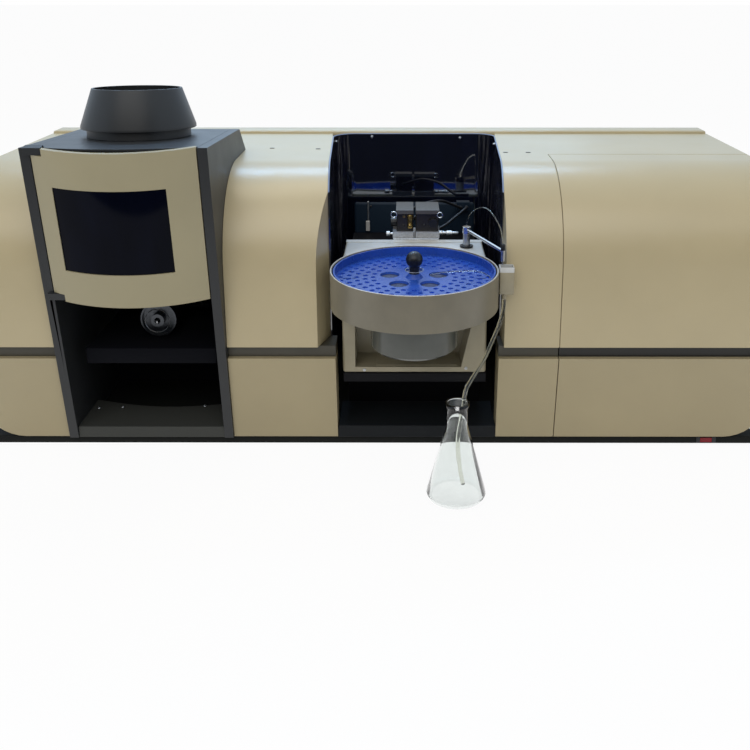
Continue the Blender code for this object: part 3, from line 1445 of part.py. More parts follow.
def make_arm(body):
    """The sampling arm: a fixed guide, a lifting stem, and a swinging arm with its capillary."""
    foot = sampler_top + seat_gap
    bore = stem_radius + seat_gap
    place = (stem_x, stem_y, 0)
    stem_low = foot - stem_reach
    stem_high = foot + stem_rise
    turned("arm_guide", [(guide_radius, foot + guide_height), (guide_radius, foot), (bore, foot),
                         (bore, foot + guide_height)], steel, place, 24)
    cut(body, rod("stem_hole", (stem_x, stem_y, stem_low - arm_lift_down - stem_end_room),
                  stem_reach + arm_lift_down + stem_end_room + overrun, bore, "z", None, 20))
    tip_high = stem_high + stem_tip_height
    turned("lift_stem", [(stem_tip_radius, tip_high), (stem_tip_radius, stem_high),
                         (stem_radius, stem_high), (stem_radius, stem_low), (0, stem_low),
                         (0, tip_high)], chrome, place, 20)
    collar_low = stem_high + seat_gap
    collar_high = collar_low + arm_collar_height
    socket = stem_tip_radius + seat_gap
    head = turned("sampling_arm", [(arm_collar_radius, collar_high), (arm_collar_radius, collar_low),
                                   (socket, collar_low), (socket, tip_high + seat_gap),
                                   (0, tip_high + seat_gap), (0, collar_high)], steel, place, 24)
    z = (collar_low + collar_high) / 2
    pivot = Vector((stem_x, stem_y, z))
    swing = Vector((needle_x, needle_y, z)) - pivot
    direction = swing.normalized()
    start = pivot + direction * (socket + arm_collar_radius) / 2
    end = pivot + direction * (swing.length - holder_radius - seat_gap)
    add(head, bar_between("sampling_bar", start, end, arm_radius))
    holder_high = z + arm_radius
    tip_low = holder_high - holder_height
    turned("needle_holder",
           [(holder_radius, holder_high), (holder_radius, tip_low + holder_radius),
            (needle_radius, tip_low), (needle_radius, tip_low - needle_reach),
            (0, tip_low - needle_reach), (0, holder_high)], steel, (needle_x, needle_y, 0), 14)
    low_end = Vector((needle_x, needle_y, holder_high + seat_gap))
    high_end = Vector((stem_x, stem_y, collar_high + seat_gap))
    route = [low_end.lerp(high_end, share) + Vector((0, 0, rise)) for share, rise in capillary_route]
    tube("sample_capillary", smooth_path(route, capillary_points), capillary_radius, clear_hose, 2)


capillary_route = ((0, 0), (0.015, 0.012), (0.10, 0.032), (0.39, 0.047), (0.65, 0.042),
                   (0.88, 0.026), (0.985, 0.010), (1.0, 0))


def make_wash_station():
    """The square wash cup beside the tray, its spout, the drain hose and the waste flask."""
    low = cup_top - cup_height
    right = cup_left + cup_size_x
    back = cup_front_y + cup_size_y
    cup = block("wash_cup", (cup_left, cup_front_y, low), (right, back, cup_top), ivory, cup_wall, 2)
    middle_y = (cup_front_y + back) / 2
    lug = block("cup_lug", (tray_edge_x + seat_gap, middle_y - bracket_thickness / 2,
                            cup_top - bracket_drop - bracket_rise),
                (cup_left + cup_wall, middle_y + bracket_thickness / 2, cup_top - bracket_drop))
    spout = rod("cup_spout", (spout_x, middle_y, low - spout_length), spout_length + cup_floor / 2,
                spout_radius, "z", None, 16)
    add(cup, lug, spout)
    cut(cup, block("cup_hollow", (cup_left + cup_wall, cup_front_y + cup_wall, low + cup_floor),
                   (right - cup_wall, back - cup_wall, cup_top + overrun)))
    start_z = low - spout_length - seat_gap
    route = [(spout_x, middle_y, start_z), (spout_x, middle_y, start_z - spout_length)]
    route += [Vector((tray_x, tray_y, 0)) + Vector(point) for point in drain_route]
    tube("drain_hose", smooth_path(route, drain_points), drain_radius, clear_hose, 2)

    wall = flask_glass
    neck_low = flask_height - flask_neck_height
    chamfer = flask_foot_radius * flask_foot_share
    profile = [(flask_rim_radius, flask_height), (flask_rim_radius, flask_height - flask_rim_height),
               (flask_neck_radius, flask_height - flask_rim_height - flask_rim_slope),
               (flask_neck_radius, neck_low + flask_foot_radius),
               (flask_neck_radius + wall, neck_low - wall),
               (flask_base_radius, flask_foot_radius), (flask_base_radius - chamfer, chamfer),
               (flask_base_radius - flask_foot_radius, 0), (0, 0), (0, wall),
               (flask_base_radius - flask_foot_radius, wall),
               (flask_base_radius - wall - chamfer, chamfer + wall),
               (flask_base_radius - wall, flask_foot_radius + wall / 2),
               (flask_neck_radius, neck_low - flask_shoulder),
               (flask_neck_radius - wall, neck_low + flask_foot_radius),
               (flask_neck_radius - wall, flask_height)]
    turned("waste_flask", profile, clear_glass, (flask_x, flask_y, 0), 36)


drain_route = ((0.1310, -0.0005, 0.2360), (0.1238, -0.0100, 0.2180), (0.1158, -0.0220, 0.2045),
               (0.1063, -0.0400, 0.1915), (0.0983, -0.0530, 0.1815), (0.0878, -0.0690, 0.1730),
               (0.0783, -0.0850, 0.1655), (0.0718, -0.0965, 0.1585), (0.0691, -0.1035, 0.1460),
               (0.0691, -0.1052, 0.1380), (0.0648, -0.1070, 0.1150), (0.0613, -0.1080, 0.0880),
               (0.0643, -0.1085, 0.0500), (0.0703, -0.1080, 0.0180))


def make_furnace_head():
    """The graphite furnace head on its rails, with a sliding right jaw."""
    base_low = furnace_column_top + seat_gap
    left_x = head_x - head_base_width / 2
    right_x = head_x + head_base_width / 2
    front = head_y - head_base_depth / 2
    base_high = base_low + head_base_height
    block("furnace_base", (left_x, front, base_low), (right_x, front + head_base_depth, base_high),
          steel, seat_gap * 4, 1)
    split_left = head_x - jaw_gap_left
    split_right = split_left + jaw_gap_width
    rail_low = base_high + seat_gap
    rail_high = rail_low + rail_height
    jaw_low = rail_high
    jaw_high = jaw_low + jaw_height
    jaw_front = head_y - jaw_depth / 2
    jaw_back = head_y + jaw_depth / 2
    tube_z = jaw_low + jaw_height / 2
    pivot = (split_right, head_y, rail_low)
    rail_depth = front + head_base_depth - rail_step
    left_rail = block("left_jaw_rail", (left_x, front + rail_step, rail_low),
                      (split_left, rail_depth, rail_high))
    right_rail = block("right_jaw_rail", (split_right, front + rail_step, rail_low),
                       (right_x, rail_depth, rail_high))
    room = graphite_radius + seat_gap
    half_tube = graphite_length / 2
    tube_middle = (split_left + split_right) / 2
    bore = rod("graphite_seat", (tube_middle - half_tube - seat_gap, head_y, tube_z),
               graphite_length + seat_gap * 2, room, "x", None, 20)
    sight = rod("sight_bore", (left_x - overrun, head_y, tube_z), head_base_width + overrun * 2,
                graphite_bore, "x", None, 14)
    sink = rail_height / 2
    left_jaw = block("left_furnace_jaw", (split_left - jaw_left_width, jaw_front, jaw_low - sink),
                     (split_left, jaw_back, jaw_high), dark_metal, seat_gap * 4, 1)
    right_jaw = block("right_furnace_jaw", (split_right, jaw_front, jaw_low - sink),
                      (split_right + jaw_right_width, jaw_back, jaw_high), dark_metal, seat_gap * 4, 1,
                      pivot=pivot)
    left_plate = block("left_jaw_plate", (split_left - jaw_left_width - rail_step / 4,
                                          jaw_front - rail_step, jaw_high - jaw_plate / 4),
                       (split_left, jaw_back + rail_step / 4, jaw_high + jaw_plate))
    right_plate = block("right_jaw_plate", (split_right, jaw_front - rail_step,
                                            jaw_high - jaw_plate / 4),
                        (split_right + jaw_right_width + rail_step / 4, jaw_back + rail_step / 4,
                         jaw_high + jaw_plate))
    add(left_jaw, left_rail, left_plate)
    add(right_jaw, right_rail, right_plate)
    cut(left_jaw, bore, sight)
    cut(right_jaw, bore, sight)
    turned("graphite_tube",
           [(graphite_radius, half_tube), (graphite_radius, -half_tube), (graphite_bore, -half_tube),
            (graphite_bore, half_tube)], graphite, (tube_middle, head_y, tube_z), 18,
           (0, math.radians(90), 0))
    rod("left_furnace_knob", (split_left - jaw_left_width - side_knob_length - seat_gap, head_y, tube_z
                              - side_knob_radius),
        side_knob_length, side_knob_radius, "x", knob_black, 20)
    knob_x = split_right + jaw_right_width * front_knob_share
    rod("right_furnace_knob", (knob_x, jaw_front - front_knob_length - seat_gap, tube_z),
        front_knob_length, front_knob_radius, "y", knob_black, 20, pivot=pivot)
    make_leads(left_x, (split_left + split_left - jaw_left_width) / 2, tube_z)


front_knob_share = 0.76


def make_leads(base_left_x, jaw_x, jaw_z):
    """The two power leads from the back of the furnace to the gland on the rear panel."""
    base_rear = head_y + head_base_depth / 2
    base_z = furnace_column_top + head_base_height / 2
    gland_x = head_x + gland_offset
    end = Vector((gland_x, back_panel_y - gland_depth - seat_gap,
                  back_panel_top + (gland_rise - gland_drop) / 2))
    straight = Vector((0, lead_spread, 0))
    side = Vector((lead_spread / 2, 0, 0))
    upper = Vector((jaw_x, head_y + jaw_depth / 2 + seat_gap, jaw_z))
    lower = Vector((base_left_x + head_base_width - lead_spread, base_rear + seat_gap, base_z))
    for name, start, finish_at, route in (
            ("furnace_lead_upper", upper, end - side, upper_lead_route),
            ("furnace_lead_lower", lower, end + side, lower_lead_route)):
        points = [start, start + straight]
        points += [start.lerp(finish_at, share) + Vector((0, bow, rise)) for share, bow, rise in route]
        points += [finish_at - straight, finish_at]
        tube(name, smooth_path(points, lead_points), lead_radius, knob_black, 2)


upper_lead_route = ((0.30, -0.012, 0.016), (0.60, -0.010, 0.018), (0.82, -0.004, 0.008))
lower_lead_route = ((0.35, -0.006, -0.002), (0.65, -0.006, -0.002))


def make_lamps():
    """The lamp turret: bearing plates, a turning cage and its lamps."""
    axis_z = beam_height - lamp_circle_radius
    floor = groove_top + seat_gap
    right_plate_x = turret_x + turret_plate + turret_spacing
    left_plate_x = turret_x - lamp_lead - turret_end_gap - bearing_plate
    right_low = turret_x - lamp_lead + lamp_length - overrun + lamp_base_length + turret_end_gap
    pivot = (turret_x, turret_y, axis_z)
    cage = rod("lamp_turret", (left_plate_x, turret_y, axis_z), right_low + bearing_plate - left_plate_x,
               turret_shaft_radius, "x", steel, 20, pivot=pivot)
    discs = rod_group("turret_discs", [(turret_x, turret_y, axis_z), (right_plate_x, turret_y, axis_z)],
                      turret_plate, turret_plate_radius, "x", None, 32, pivot=pivot)
    add(cage, discs)
    spots = []
    for index in range(lamp_count):
        angle = math.tau * index / lamp_count + math.pi / 2
        spots.append((turret_x - lamp_lead, turret_y + lamp_circle_radius * math.cos(angle),
                      axis_z + lamp_circle_radius * math.sin(angle)))
    add(cage,
        rod_group("hollow_cathode_lamps", spots, lamp_length, lamp_radius, "x", None, 12,
                  pivot=pivot),
        rod_group("lamp_bases", [(x + lamp_length - overrun, y, z) for x, y, z in spots],
                  lamp_base_length, lamp_base_radius, "x", None, 12, pivot=pivot))
    top = axis_z + turret_shaft_radius * 2
    half_bearing = turret_shaft_radius * 2
    bearings = block("turret_bracket", (left_plate_x, turret_y - half_bearing, floor),
                     (right_low + bearing_plate, turret_y + half_bearing, floor + bearing_plate / 2),
                     dark_metal)
    for name, x_low in (("left_bearing", left_plate_x), ("right_bearing", right_low)):
        add(bearings, block(name, (x_low, turret_y - half_bearing, floor),
                            (x_low + bearing_plate, turret_y + half_bearing, top)))
    cut(bearings, rod("bearing_bore", (left_plate_x - overrun, turret_y, axis_z),
                      right_low + bearing_plate - left_plate_x + overrun * 2,
                      turret_shaft_radius + bearing_clearance, "x", None, 24))


make_base()
make_covers()
make_lid()
make_switch()
make_rear()
make_door(*make_hood())
make_flame_bay()
make_furnace_bay()
make_arm(make_sampler())
make_wash_station()
make_furnace_head()
make_lamps()
bpy.context.view_layer.update()
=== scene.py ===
"""Looks for the atomic absorption spectrometer: materials, fine pieces, cords, floor and light.

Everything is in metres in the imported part's frame: +X to the right along the front, +Y to the
rear, +Z up, and the bench at z = 0.
"""
import math

import bmesh
import bpy
from mathutils import Matrix, Vector


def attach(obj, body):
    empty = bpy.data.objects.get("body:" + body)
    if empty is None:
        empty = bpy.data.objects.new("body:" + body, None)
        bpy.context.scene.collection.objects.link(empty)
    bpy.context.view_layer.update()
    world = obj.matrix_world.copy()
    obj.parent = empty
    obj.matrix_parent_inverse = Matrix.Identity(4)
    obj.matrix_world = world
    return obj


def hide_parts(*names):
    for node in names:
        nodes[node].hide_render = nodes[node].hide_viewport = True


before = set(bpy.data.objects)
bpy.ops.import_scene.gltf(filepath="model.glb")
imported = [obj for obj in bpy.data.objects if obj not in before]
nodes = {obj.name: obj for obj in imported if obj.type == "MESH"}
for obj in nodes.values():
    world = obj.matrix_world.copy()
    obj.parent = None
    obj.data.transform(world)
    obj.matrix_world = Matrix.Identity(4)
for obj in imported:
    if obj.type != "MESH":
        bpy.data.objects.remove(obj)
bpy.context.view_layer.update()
scene = bpy.context.scene

# The housing's front face lies at y = root_y in this frame
root_y = -0.141


def make_camera():
    """The camera at the photograph's place, angle and crop."""
    data = bpy.data.cameras.new("camera")
    data.sensor_width = 36
    data.lens = 44.08
    data.shift_x = -0.04
    data.shift_y = -0.2067
    data.clip_end = 200
    made = bpy.data.objects.new("camera", data)
    made.location = (0.0518, root_y - 1.3032, 0.7133)
    made.rotation_euler = (math.radians(75.52), 0, math.radians(0.12))
    scene.collection.objects.link(made)
    scene.camera = made


make_camera()


# Materials


def new_material(name):
    """A material with an empty node tree but for its shader and output."""
    made = bpy.data.materials.new(name)
    made.use_nodes = True
    tree = made.node_tree
    shader = tree.nodes["Principled BSDF"]
    return made, tree, shader


def join(tree, source, target):
    """Link one socket to another."""
    tree.links.new(source, target)


def noise(tree, scale, detail=3.0, stretch=(1, 1, 1), roughness=0.5):
    """A noise texture in object space, in features per metre."""
    place = tree.nodes.new("ShaderNodeTexCoord")
    mapping = tree.nodes.new("ShaderNodeMapping")
    mapping.inputs["Scale"].default_value = stretch
    made = tree.nodes.new("ShaderNodeTexNoise")
    made.inputs["Scale"].default_value = scale
    made.inputs["Detail"].default_value = detail
    made.inputs["Roughness"].default_value = roughness
    join(tree, place.outputs["Object"], mapping.inputs["Vector"])
    join(tree, mapping.outputs["Vector"], made.inputs["Vector"])
    return made.outputs["Fac"]


def ramp(tree, factor, stops):
    """A colour ramp over a factor."""
    made = tree.nodes.new("ShaderNodeValToRGB")
    bar = made.color_ramp
    while len(bar.elements) < len(stops):
        bar.elements.new(0.5)
    for element, (place, colour) in zip(bar.elements, stops):
        element.position = place
        element.color = (*colour, 1)
    join(tree, factor, made.inputs["Fac"])
    return made.outputs["Color"]


def between(tree, factor, low, high):
    """A number that runs from low to high with a factor."""
    made = tree.nodes.new("ShaderNodeMapRange")
    made.inputs["To Min"].default_value = low
    made.inputs["To Max"].default_value = high
    join(tree, factor, made.inputs["Value"])
    return made.outputs["Result"]


def past(tree, axis, edge, soft=0.0003):
    """A factor that turns from 0 to 1 where a place on the object passes a level on an axis."""
    place = tree.nodes.new("ShaderNodeTexCoord")
    split = tree.nodes.new("ShaderNodeSeparateXYZ")
    made = tree.nodes.new("ShaderNodeMapRange")
    made.inputs["From Min"].default_value = edge - soft
    made.inputs["From Max"].default_value = edge + soft
    join(tree, place.outputs["Object"], split.inputs["Vector"])
    join(tree, split.outputs[axis], made.inputs["Value"])
    return made.outputs["Result"]


def mixed(tree, factor, low, high):
    """One colour where the factor is 0 and another where it is 1."""
    made = tree.nodes.new("ShaderNodeMix")
    made.data_type = "RGBA"
    join(tree, factor, made.inputs[0])
    for socket, colour in ((made.inputs[6], low), (made.inputs[7], high)):
        if isinstance(colour, tuple):
            socket.default_value = (*colour, 1)
        else:
            join(tree, colour, socket)
    return made.outputs[2]


def combined(tree, operation, first, second):
    """Two numbers, or the outputs that give them, put through one step of arithmetic."""
    made = tree.nodes.new("ShaderNodeMath")
    made.operation = operation
    for socket, value in zip(made.inputs, (first, second)):
        if isinstance(value, (int, float)):
            socket.default_value = value
        else:
            join(tree, value, socket)
    return made.outputs["Value"]


def bump(tree, shader, height, strength, distance):
    """Put a bump on the shader's normal, over any bump already there."""
    made = tree.nodes.new("ShaderNodeBump")
    made.inputs["Strength"].default_value = strength
    made.inputs["Distance"].default_value = distance
    join(tree, height, made.inputs["Height"])
    if shader.inputs["Normal"].links:
        join(tree, shader.inputs["Normal"].links[0].from_socket, made.inputs["Normal"])
    join(tree, made.outputs["Normal"], shader.inputs["Normal"])


def shades(tone, share=0.86):
    """A tone and its darker neighbour, as stops for a ramp."""
    return [(0.33, tuple(level * share for level in tone)), (0.67, tone)]


def enamel(name, tone, gloss, peel=0.00006, grain=900, specular=0.5, zones=()):
    """Sprayed enamel: two close tones, an uneven gloss and a fine orange peel.

    Each zone is an axis, a level and the tone from that level up.
    """
    mottle = 7
    made, tree, shader = new_material(name)
    colour = ramp(tree, noise(tree, mottle, 4), shades(tone, 0.93))
    for axis, edge, other in zones:
        colour = mixed(tree, past(tree, axis, edge), colour,
                       ramp(tree, noise(tree, mottle * 3, 3), shades(other, 0.88)))
    join(tree, colour, shader.inputs["Base Color"])
    join(tree, between(tree, noise(tree, mottle * 4, 5), gloss - 0.05, gloss + 0.07),
         shader.inputs["Roughness"])
    shader.inputs["Specular IOR Level"].default_value = specular
    bump(tree, shader, noise(tree, grain, 2), 0.5, peel)
    return made


def moulding(name, tone, gloss, specular=0.5, zones=()):
    """Moulded plastic: a fine grain and slight patches of sheen."""
    grain = 1500
    grain_depth = 0.00004
    made, tree, shader = new_material(name)
    colour = ramp(tree, noise(tree, 26, 3), shades(tone))
    for axis, edge, other in zones:
        colour = mixed(tree, past(tree, axis, edge), colour,
                       ramp(tree, noise(tree, 40, 3), shades(other)))
    join(tree, colour, shader.inputs["Base Color"])
    join(tree, between(tree, noise(tree, 60, 4), gloss - 0.05, gloss + 0.07),
         shader.inputs["Roughness"])
    shader.inputs["Specular IOR Level"].default_value = specular
    bump(tree, shader, noise(tree, grain, 2), 0.4, grain_depth)
    return made


def metal(name, tone, gloss, stretch=(1, 1, 1), depth=0.00003, zones=()):
    """Machined metal with fine lines along one axis.

    Each zone is an axis, a level, and the tone and share of a metal's sheen from that level up.
    """
    grain = 500
    made, tree, shader = new_material(name)
    lines = noise(tree, grain, 4, stretch)
    colour = ramp(tree, lines, shades(tone, 0.78))
    sheen = None
    for axis, edge, other, bare in zones:
        factor = past(tree, axis, edge)
        colour = mixed(tree, factor, colour, ramp(tree, noise(tree, 90, 3), shades(other)))
        level = tree.nodes.new("ShaderNodeMapRange")
        level.inputs["To Max"].default_value = bare
        if sheen is None:
            level.inputs["To Min"].default_value = 1
        else:
            join(tree, sheen, level.inputs["To Min"])
        join(tree, factor, level.inputs["Value"])
        sheen = level.outputs["Result"]
    if sheen is None:
        shader.inputs["Metallic"].default_value = 1
    else:
        join(tree, sheen, shader.inputs["Metallic"])
    join(tree, colour, shader.inputs["Base Color"])
    join(tree, between(tree, noise(tree, grain / 3, 3, stretch), gloss - 0.06, gloss + 0.10),
         shader.inputs["Roughness"])
    bump(tree, shader, lines, 0.4, depth)
    return made


# Waves in a polished sheet are five times as long up the wall as across it
sheet_stretch = (1, 1, 0.2)


def gloss_sheet(name, tone, gloss, wave, specular):
    """A dark polished sheet that isn't quite flat."""
    made, tree, shader = new_material(name)
    join(tree, ramp(tree, noise(tree, 22, 4, sheet_stretch), shades(tone, 0.5)),
         shader.inputs["Base Color"])
    join(tree, between(tree, noise(tree, 40, 4), gloss, gloss + 0.05), shader.inputs["Roughness"])
    shader.inputs["Specular IOR Level"].default_value = specular
    bump(tree, shader, noise(tree, 16, 1, sheet_stretch), 0.6, wave)
    return made


def liner_gloss():
    """The liner's near-black gloss: its rear wall is flat, and its side walls are drawn in ripples
    with pale streaks in their colour as painted reflections.
    """
    rear_wall_left = -0.0640
    rear_wall_right = 0.1900
    turn = 0.004
    streak_stretch = (1, 1, 0.05)
    ripple_stretch = (1, 1, 0.06)
    rear_tones = shades((0.003, 0.004, 0.014), 0.4)
    side_reflection_tones = [(0.50, (0.004, 0.005, 0.012)), (0.57, (0.030, 0.032, 0.045)),
                  (0.61, (0.090, 0.092, 0.098)), (0.65, (0.006, 0.007, 0.014))]
    made, tree, shader = new_material("liner_gloss")
    shader.inputs["IOR"].default_value = 2.6
    join(tree, between(tree, noise(tree, 40, 4), 0.02, 0.05), shader.inputs["Roughness"])
    bump(tree, shader, noise(tree, 16, 1, sheet_stretch), 0.6, 0.0006)
    middle = combined(tree, "SUBTRACT", past(tree, "X", rear_wall_left, turn),
                      past(tree, "X", rear_wall_right, turn))
    sides = combined(tree, "SUBTRACT", 1, middle)
    rear_colour = ramp(tree, noise(tree, 30, 4, streak_stretch), rear_tones)
    # Pale streaks on the side walls: painted reflections
    side_painted_reflections = ramp(tree, noise(tree, 120, 3, streak_stretch, 0.6), side_reflection_tones)
    join(tree, mixed(tree, sides, rear_colour, side_painted_reflections), shader.inputs["Base Color"])
    ripple = combined(tree, "MULTIPLY", noise(tree, 75, 2, ripple_stretch, 0.6), sides)
    bump(tree, shader, ripple, 0.9, 0.0045)
    return made


def clear(name, tone, gloss, ior):
    """Clear glass or hose, with faint smears in its gloss."""
    made, tree, shader = new_material(name)
    join(tree, ramp(tree, noise(tree, 30, 3), shades(tone, 0.96)), shader.inputs["Base Color"])
    join(tree, between(tree, noise(tree, 70, 4), gloss, gloss + 0.05), shader.inputs["Roughness"])
    shader.inputs["Transmission Weight"].default_value = 1
    shader.inputs["IOR"].default_value = ior
    return made


# Tones are linear
cream = (0.520, 0.440, 0.262)
# Darker copies of the cream for the lower panels and the flame door: painted shade
shaded_lower_cream = (0.420, 0.357, 0.216)
shaded_door_cream = (0.365, 0.324, 0.200)
# The recess above the lower panels: its own grey, darkened further as painted shade under the covers'
# overhang
groove = (0.062, 0.057, 0.040)
ivory = (0.360, 0.322, 0.222)
# The tray housing's ivory, made darker than the sampler's: painted shade on its front
tray = (0.195, 0.178, 0.132)
# A paler tone for the sampler's top face than the ivory of its sides: a painted top light from
# overhead
painted_top_light = (0.620, 0.640, 0.630)
tan_grey = (0.085, 0.083, 0.080)
matt_black = (0.012, 0.012, 0.014)

# A zone's level is a hair under the face, or past the edge, from which its tone shows
groove_level = 0.1583
rack_face_level = 0.2936
sampler_top_level = 0.3034
jaw_block_level = 0.3157
jaw_top_level = 0.3457
turret_socket_x = 0.4662

looks = {
    "cream": enamel("cream_enamel", cream, 0.32, specular=0.75),
    "shaded_door_cream": enamel("cream_enamel_shaded_door", shaded_door_cream, 0.36),
    "shaded_lower_cream": enamel("cream_enamel_shaded_groove", shaded_lower_cream, 0.38,
                          zones=[("Z", groove_level, groove)]),
    # The right lower panel's recess is near black: a painted shadow line in the gap under the lamp lid
    "right_lower": enamel("cream_enamel_painted_shadow_groove", shaded_lower_cream, 0.38,
                          zones=[("Z", groove_level, (0.016, 0.015, 0.012))]),
    "charcoal": enamel("charcoal_enamel", (0.024, 0.026, 0.028), 0.40, specular=0.40),
    "base": enamel("base_texture_paint", (0.013, 0.014, 0.013), 0.62, 0.0002, 700, 0.10),
    "sill": enamel("sill_slate_paint", (0.013, 0.015, 0.017), 0.5, specular=0.12),
    "slate": enamel("bay_floor_slate_paint", (0.054, 0.057, 0.052), 0.5, specular=0.25),
    "bay": enamel("bay_matt_black", (0.005, 0.0055, 0.008), 0.62, 0.0001, 800, 0.06),
    "shelf": enamel("shelf_slate_paint", (0.009, 0.009, 0.011), 0.42, specular=0.10),
    "liner": liner_gloss(),
    "panel": enamel("panel_navy", (0.010, 0.022, 0.040), 0.45, specular=0.15),
    "window": gloss_sheet("window_filter", (0.002, 0.003, 0.009), 0.05, 0.0001, 0.06),
    # Ivory moulding, painted paler on its top faces as painted light from overhead
    "ivory": moulding("ivory_moulding_painted_top_light", ivory, 0.34,
                      zones=[("Z", sampler_top_level, painted_top_light)]),
    "tray": moulding("tray_moulding_painted_shade", tray, 0.34),
    # The rack's blue is painted lighter below its face, in the sockets and holes, than on the face:
    # painted light that offsets their shade
    "rack": moulding("rack_blue_painted_socket_light", (0.042, 0.135, 0.680), 0.26, specular=0.4,
                     zones=[("Z", rack_face_level, (0.020, 0.080, 0.430))]),
    "socket": moulding("socket_pad_moulding", (0.038, 0.042, 0.095), 0.46, specular=0.25),
    "drum": moulding("drum_moulding", (0.105, 0.112, 0.100), 0.20, specular=0.5),
    "black": moulding("black_moulding", (0.010, 0.011, 0.013), 0.34, specular=0.4),
    "rear_black": moulding("rear_black_moulding", (0.014, 0.015, 0.016), 0.46),
    "red": moulding("switch_red_moulding", (0.240, 0.012, 0.020), 0.30, specular=0.3),
    "white": moulding("white_moulding", (0.620, 0.620, 0.600), 0.36),
    "lead": moulding("lead_sheath", matt_black, 0.44),
    "steel": metal("machined_steel", (0.52, 0.53, 0.54), 0.28, (1, 1, 0.05)),
    "satin": metal("satin_steel", (0.60, 0.61, 0.62), 0.36, (1, 1, 0.1)),
    "chrome": metal("polished_chrome", (0.78, 0.80, 0.83), 0.10, depth=0.00001),
    "brass": metal("turned_brass", (0.42, 0.29, 0.10), 0.26, (1, 1, 0.1)),
    "dark_metal": metal("dark_anodised", (0.09, 0.085, 0.08), 0.36),
    "nebulizer": metal("nebulizer_anodised", (0.130, 0.138, 0.150), 0.36),
    "jaw": metal("jaw_blocks", (0.66, 0.67, 0.70), 0.30,
                 zones=[("Z", jaw_block_level, (0.022, 0.020, 0.019), 0.2),
                        ("Z", jaw_top_level, tan_grey, 0)]),
    "turret": metal("turret_steel", (0.52, 0.53, 0.54), 0.26,
                    zones=[("X", turret_socket_x, matt_black, 0)]),
    "graphite": moulding("graphite_tube_coat", (0.030, 0.030, 0.032), 0.5),
    "glass": clear("flask_glass", (0.90, 0.93, 0.92), 0.0, 1.45),
    "hose": clear("hose_plastic", (0.80, 0.80, 0.72), 0.08, 1.40),
    # A pale blue tone for the liner's edge wire: a painted highlight
    "rim": enamel("rim_painted_highlight", (0.24, 0.32, 0.50), 0.22),
}
node_looks = {
    "cream": ("left_cover", "centre_cover", "right_cover", "lamp_lid", "rear_cover",
              "lid_hinge_pin"),
    "shaded_door_cream": ("flame_door",),
    "shaded_lower_cream": ("left_lower_panel", "centre_lower_panel", "furnace_side_panel"),
    "right_lower": ("right_lower_panel",),
    "charcoal": ("hood_left_plate", "hood_right_plate", "hood_roof", "chimney_collar"),
    "base": ("base_tray",),
    "sill": ("cavity_sill",),
    "slate": ("flame_bay_sill",),
    "bay": ("flame_back_wall", "burner_table"),
    "shelf": ("bay_shelf",),
    "liner": ("furnace_liner",),
    "panel": ("furnace_back_panel",),
    "window": ("door_window",),
    "ivory": ("sampler_body", "wash_cup"),
    "tray": ("tray_housing",),
    "rack": ("carousel",),
    "drum": ("sampler_drum",),
    "black": ("rack_knob", "switch_bezel", "spray_chamber", "left_furnace_knob",
              "right_furnace_knob", "arm_guide"),
    "rear_black": ("fan_frame", "rear_fan", "mains_inlet"),
    "red": ("power_rocker",),
    "steel": ("burner_head", "burner_lift_frame", "furnace_base", "needle_holder", "fan_guard",
              "gas_inlet_panel"),
    "nebulizer": ("nebulizer",),
    "satin": ("lift_stem",),
    "chrome": ("sampling_arm",),
    "dark_metal": ("burner_carriage", "turret_bracket"),
    "jaw": ("left_furnace_jaw", "right_furnace_jaw"),
    "turret": ("lamp_turret",),
    "graphite": ("graphite_tube",),
    "glass": ("waste_flask",),
    "hose": ("drain_hose", "sample_capillary"),
    "lead": ("furnace_lead_upper", "furnace_lead_lower"),
}
sharp_nodes = ("waste_flask", "drain_hose", "sample_capillary", "furnace_lead_upper",
               "furnace_lead_lower", "fan_guard")
weld_distance = 0.00001


def soften(made, width):
    """Break a piece's sharp edges with a narrow rounding and shade its faces evenly."""
    sharpest_kept = math.radians(32)
    made.data.polygons.foreach_set("use_smooth", [True] * len(made.data.polygons))
    edge = made.modifiers.new("edge", "BEVEL")
    edge.width = width
    edge.segments = 2
    edge.limit_method = "ANGLE"
    edge.angle_limit = sharpest_kept
    edge.harden_normals = True
    edge.use_clamp_overlap = True


def dress_nodes():
    """Give every CAD node its material, joined faces and softly broken edges."""
    broken_edge = 0.0004
    for look, names in node_looks.items():
        for name in names:
            made = nodes[name]
            mesh = made.data
            mesh.materials.clear()
            mesh.materials.append(looks[look])
            if "custom_normal" in mesh.attributes:
                mesh.attributes.remove(mesh.attributes["custom_normal"])
            if "sharp_edge" in mesh.attributes:
                mesh.attributes.remove(mesh.attributes["sharp_edge"])
            weld = made.modifiers.new("weld", "WELD")
            weld.merge_threshold = weld_distance
            if name in sharp_nodes:
                mesh.polygons.foreach_set("use_smooth", [True] * len(mesh.polygons))
            else:
                soften(made, broken_edge)


dress_nodes()


# Building blocks for the fine pieces


def place_piece(name, mesh, look, body):
    """Put a mesh in the scene as a piece that rides on a body."""
    made = bpy.data.objects.new(name, mesh)
    scene.collection.objects.link(made)
    mesh.materials.append(looks[look])
    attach(made, body)
    return made


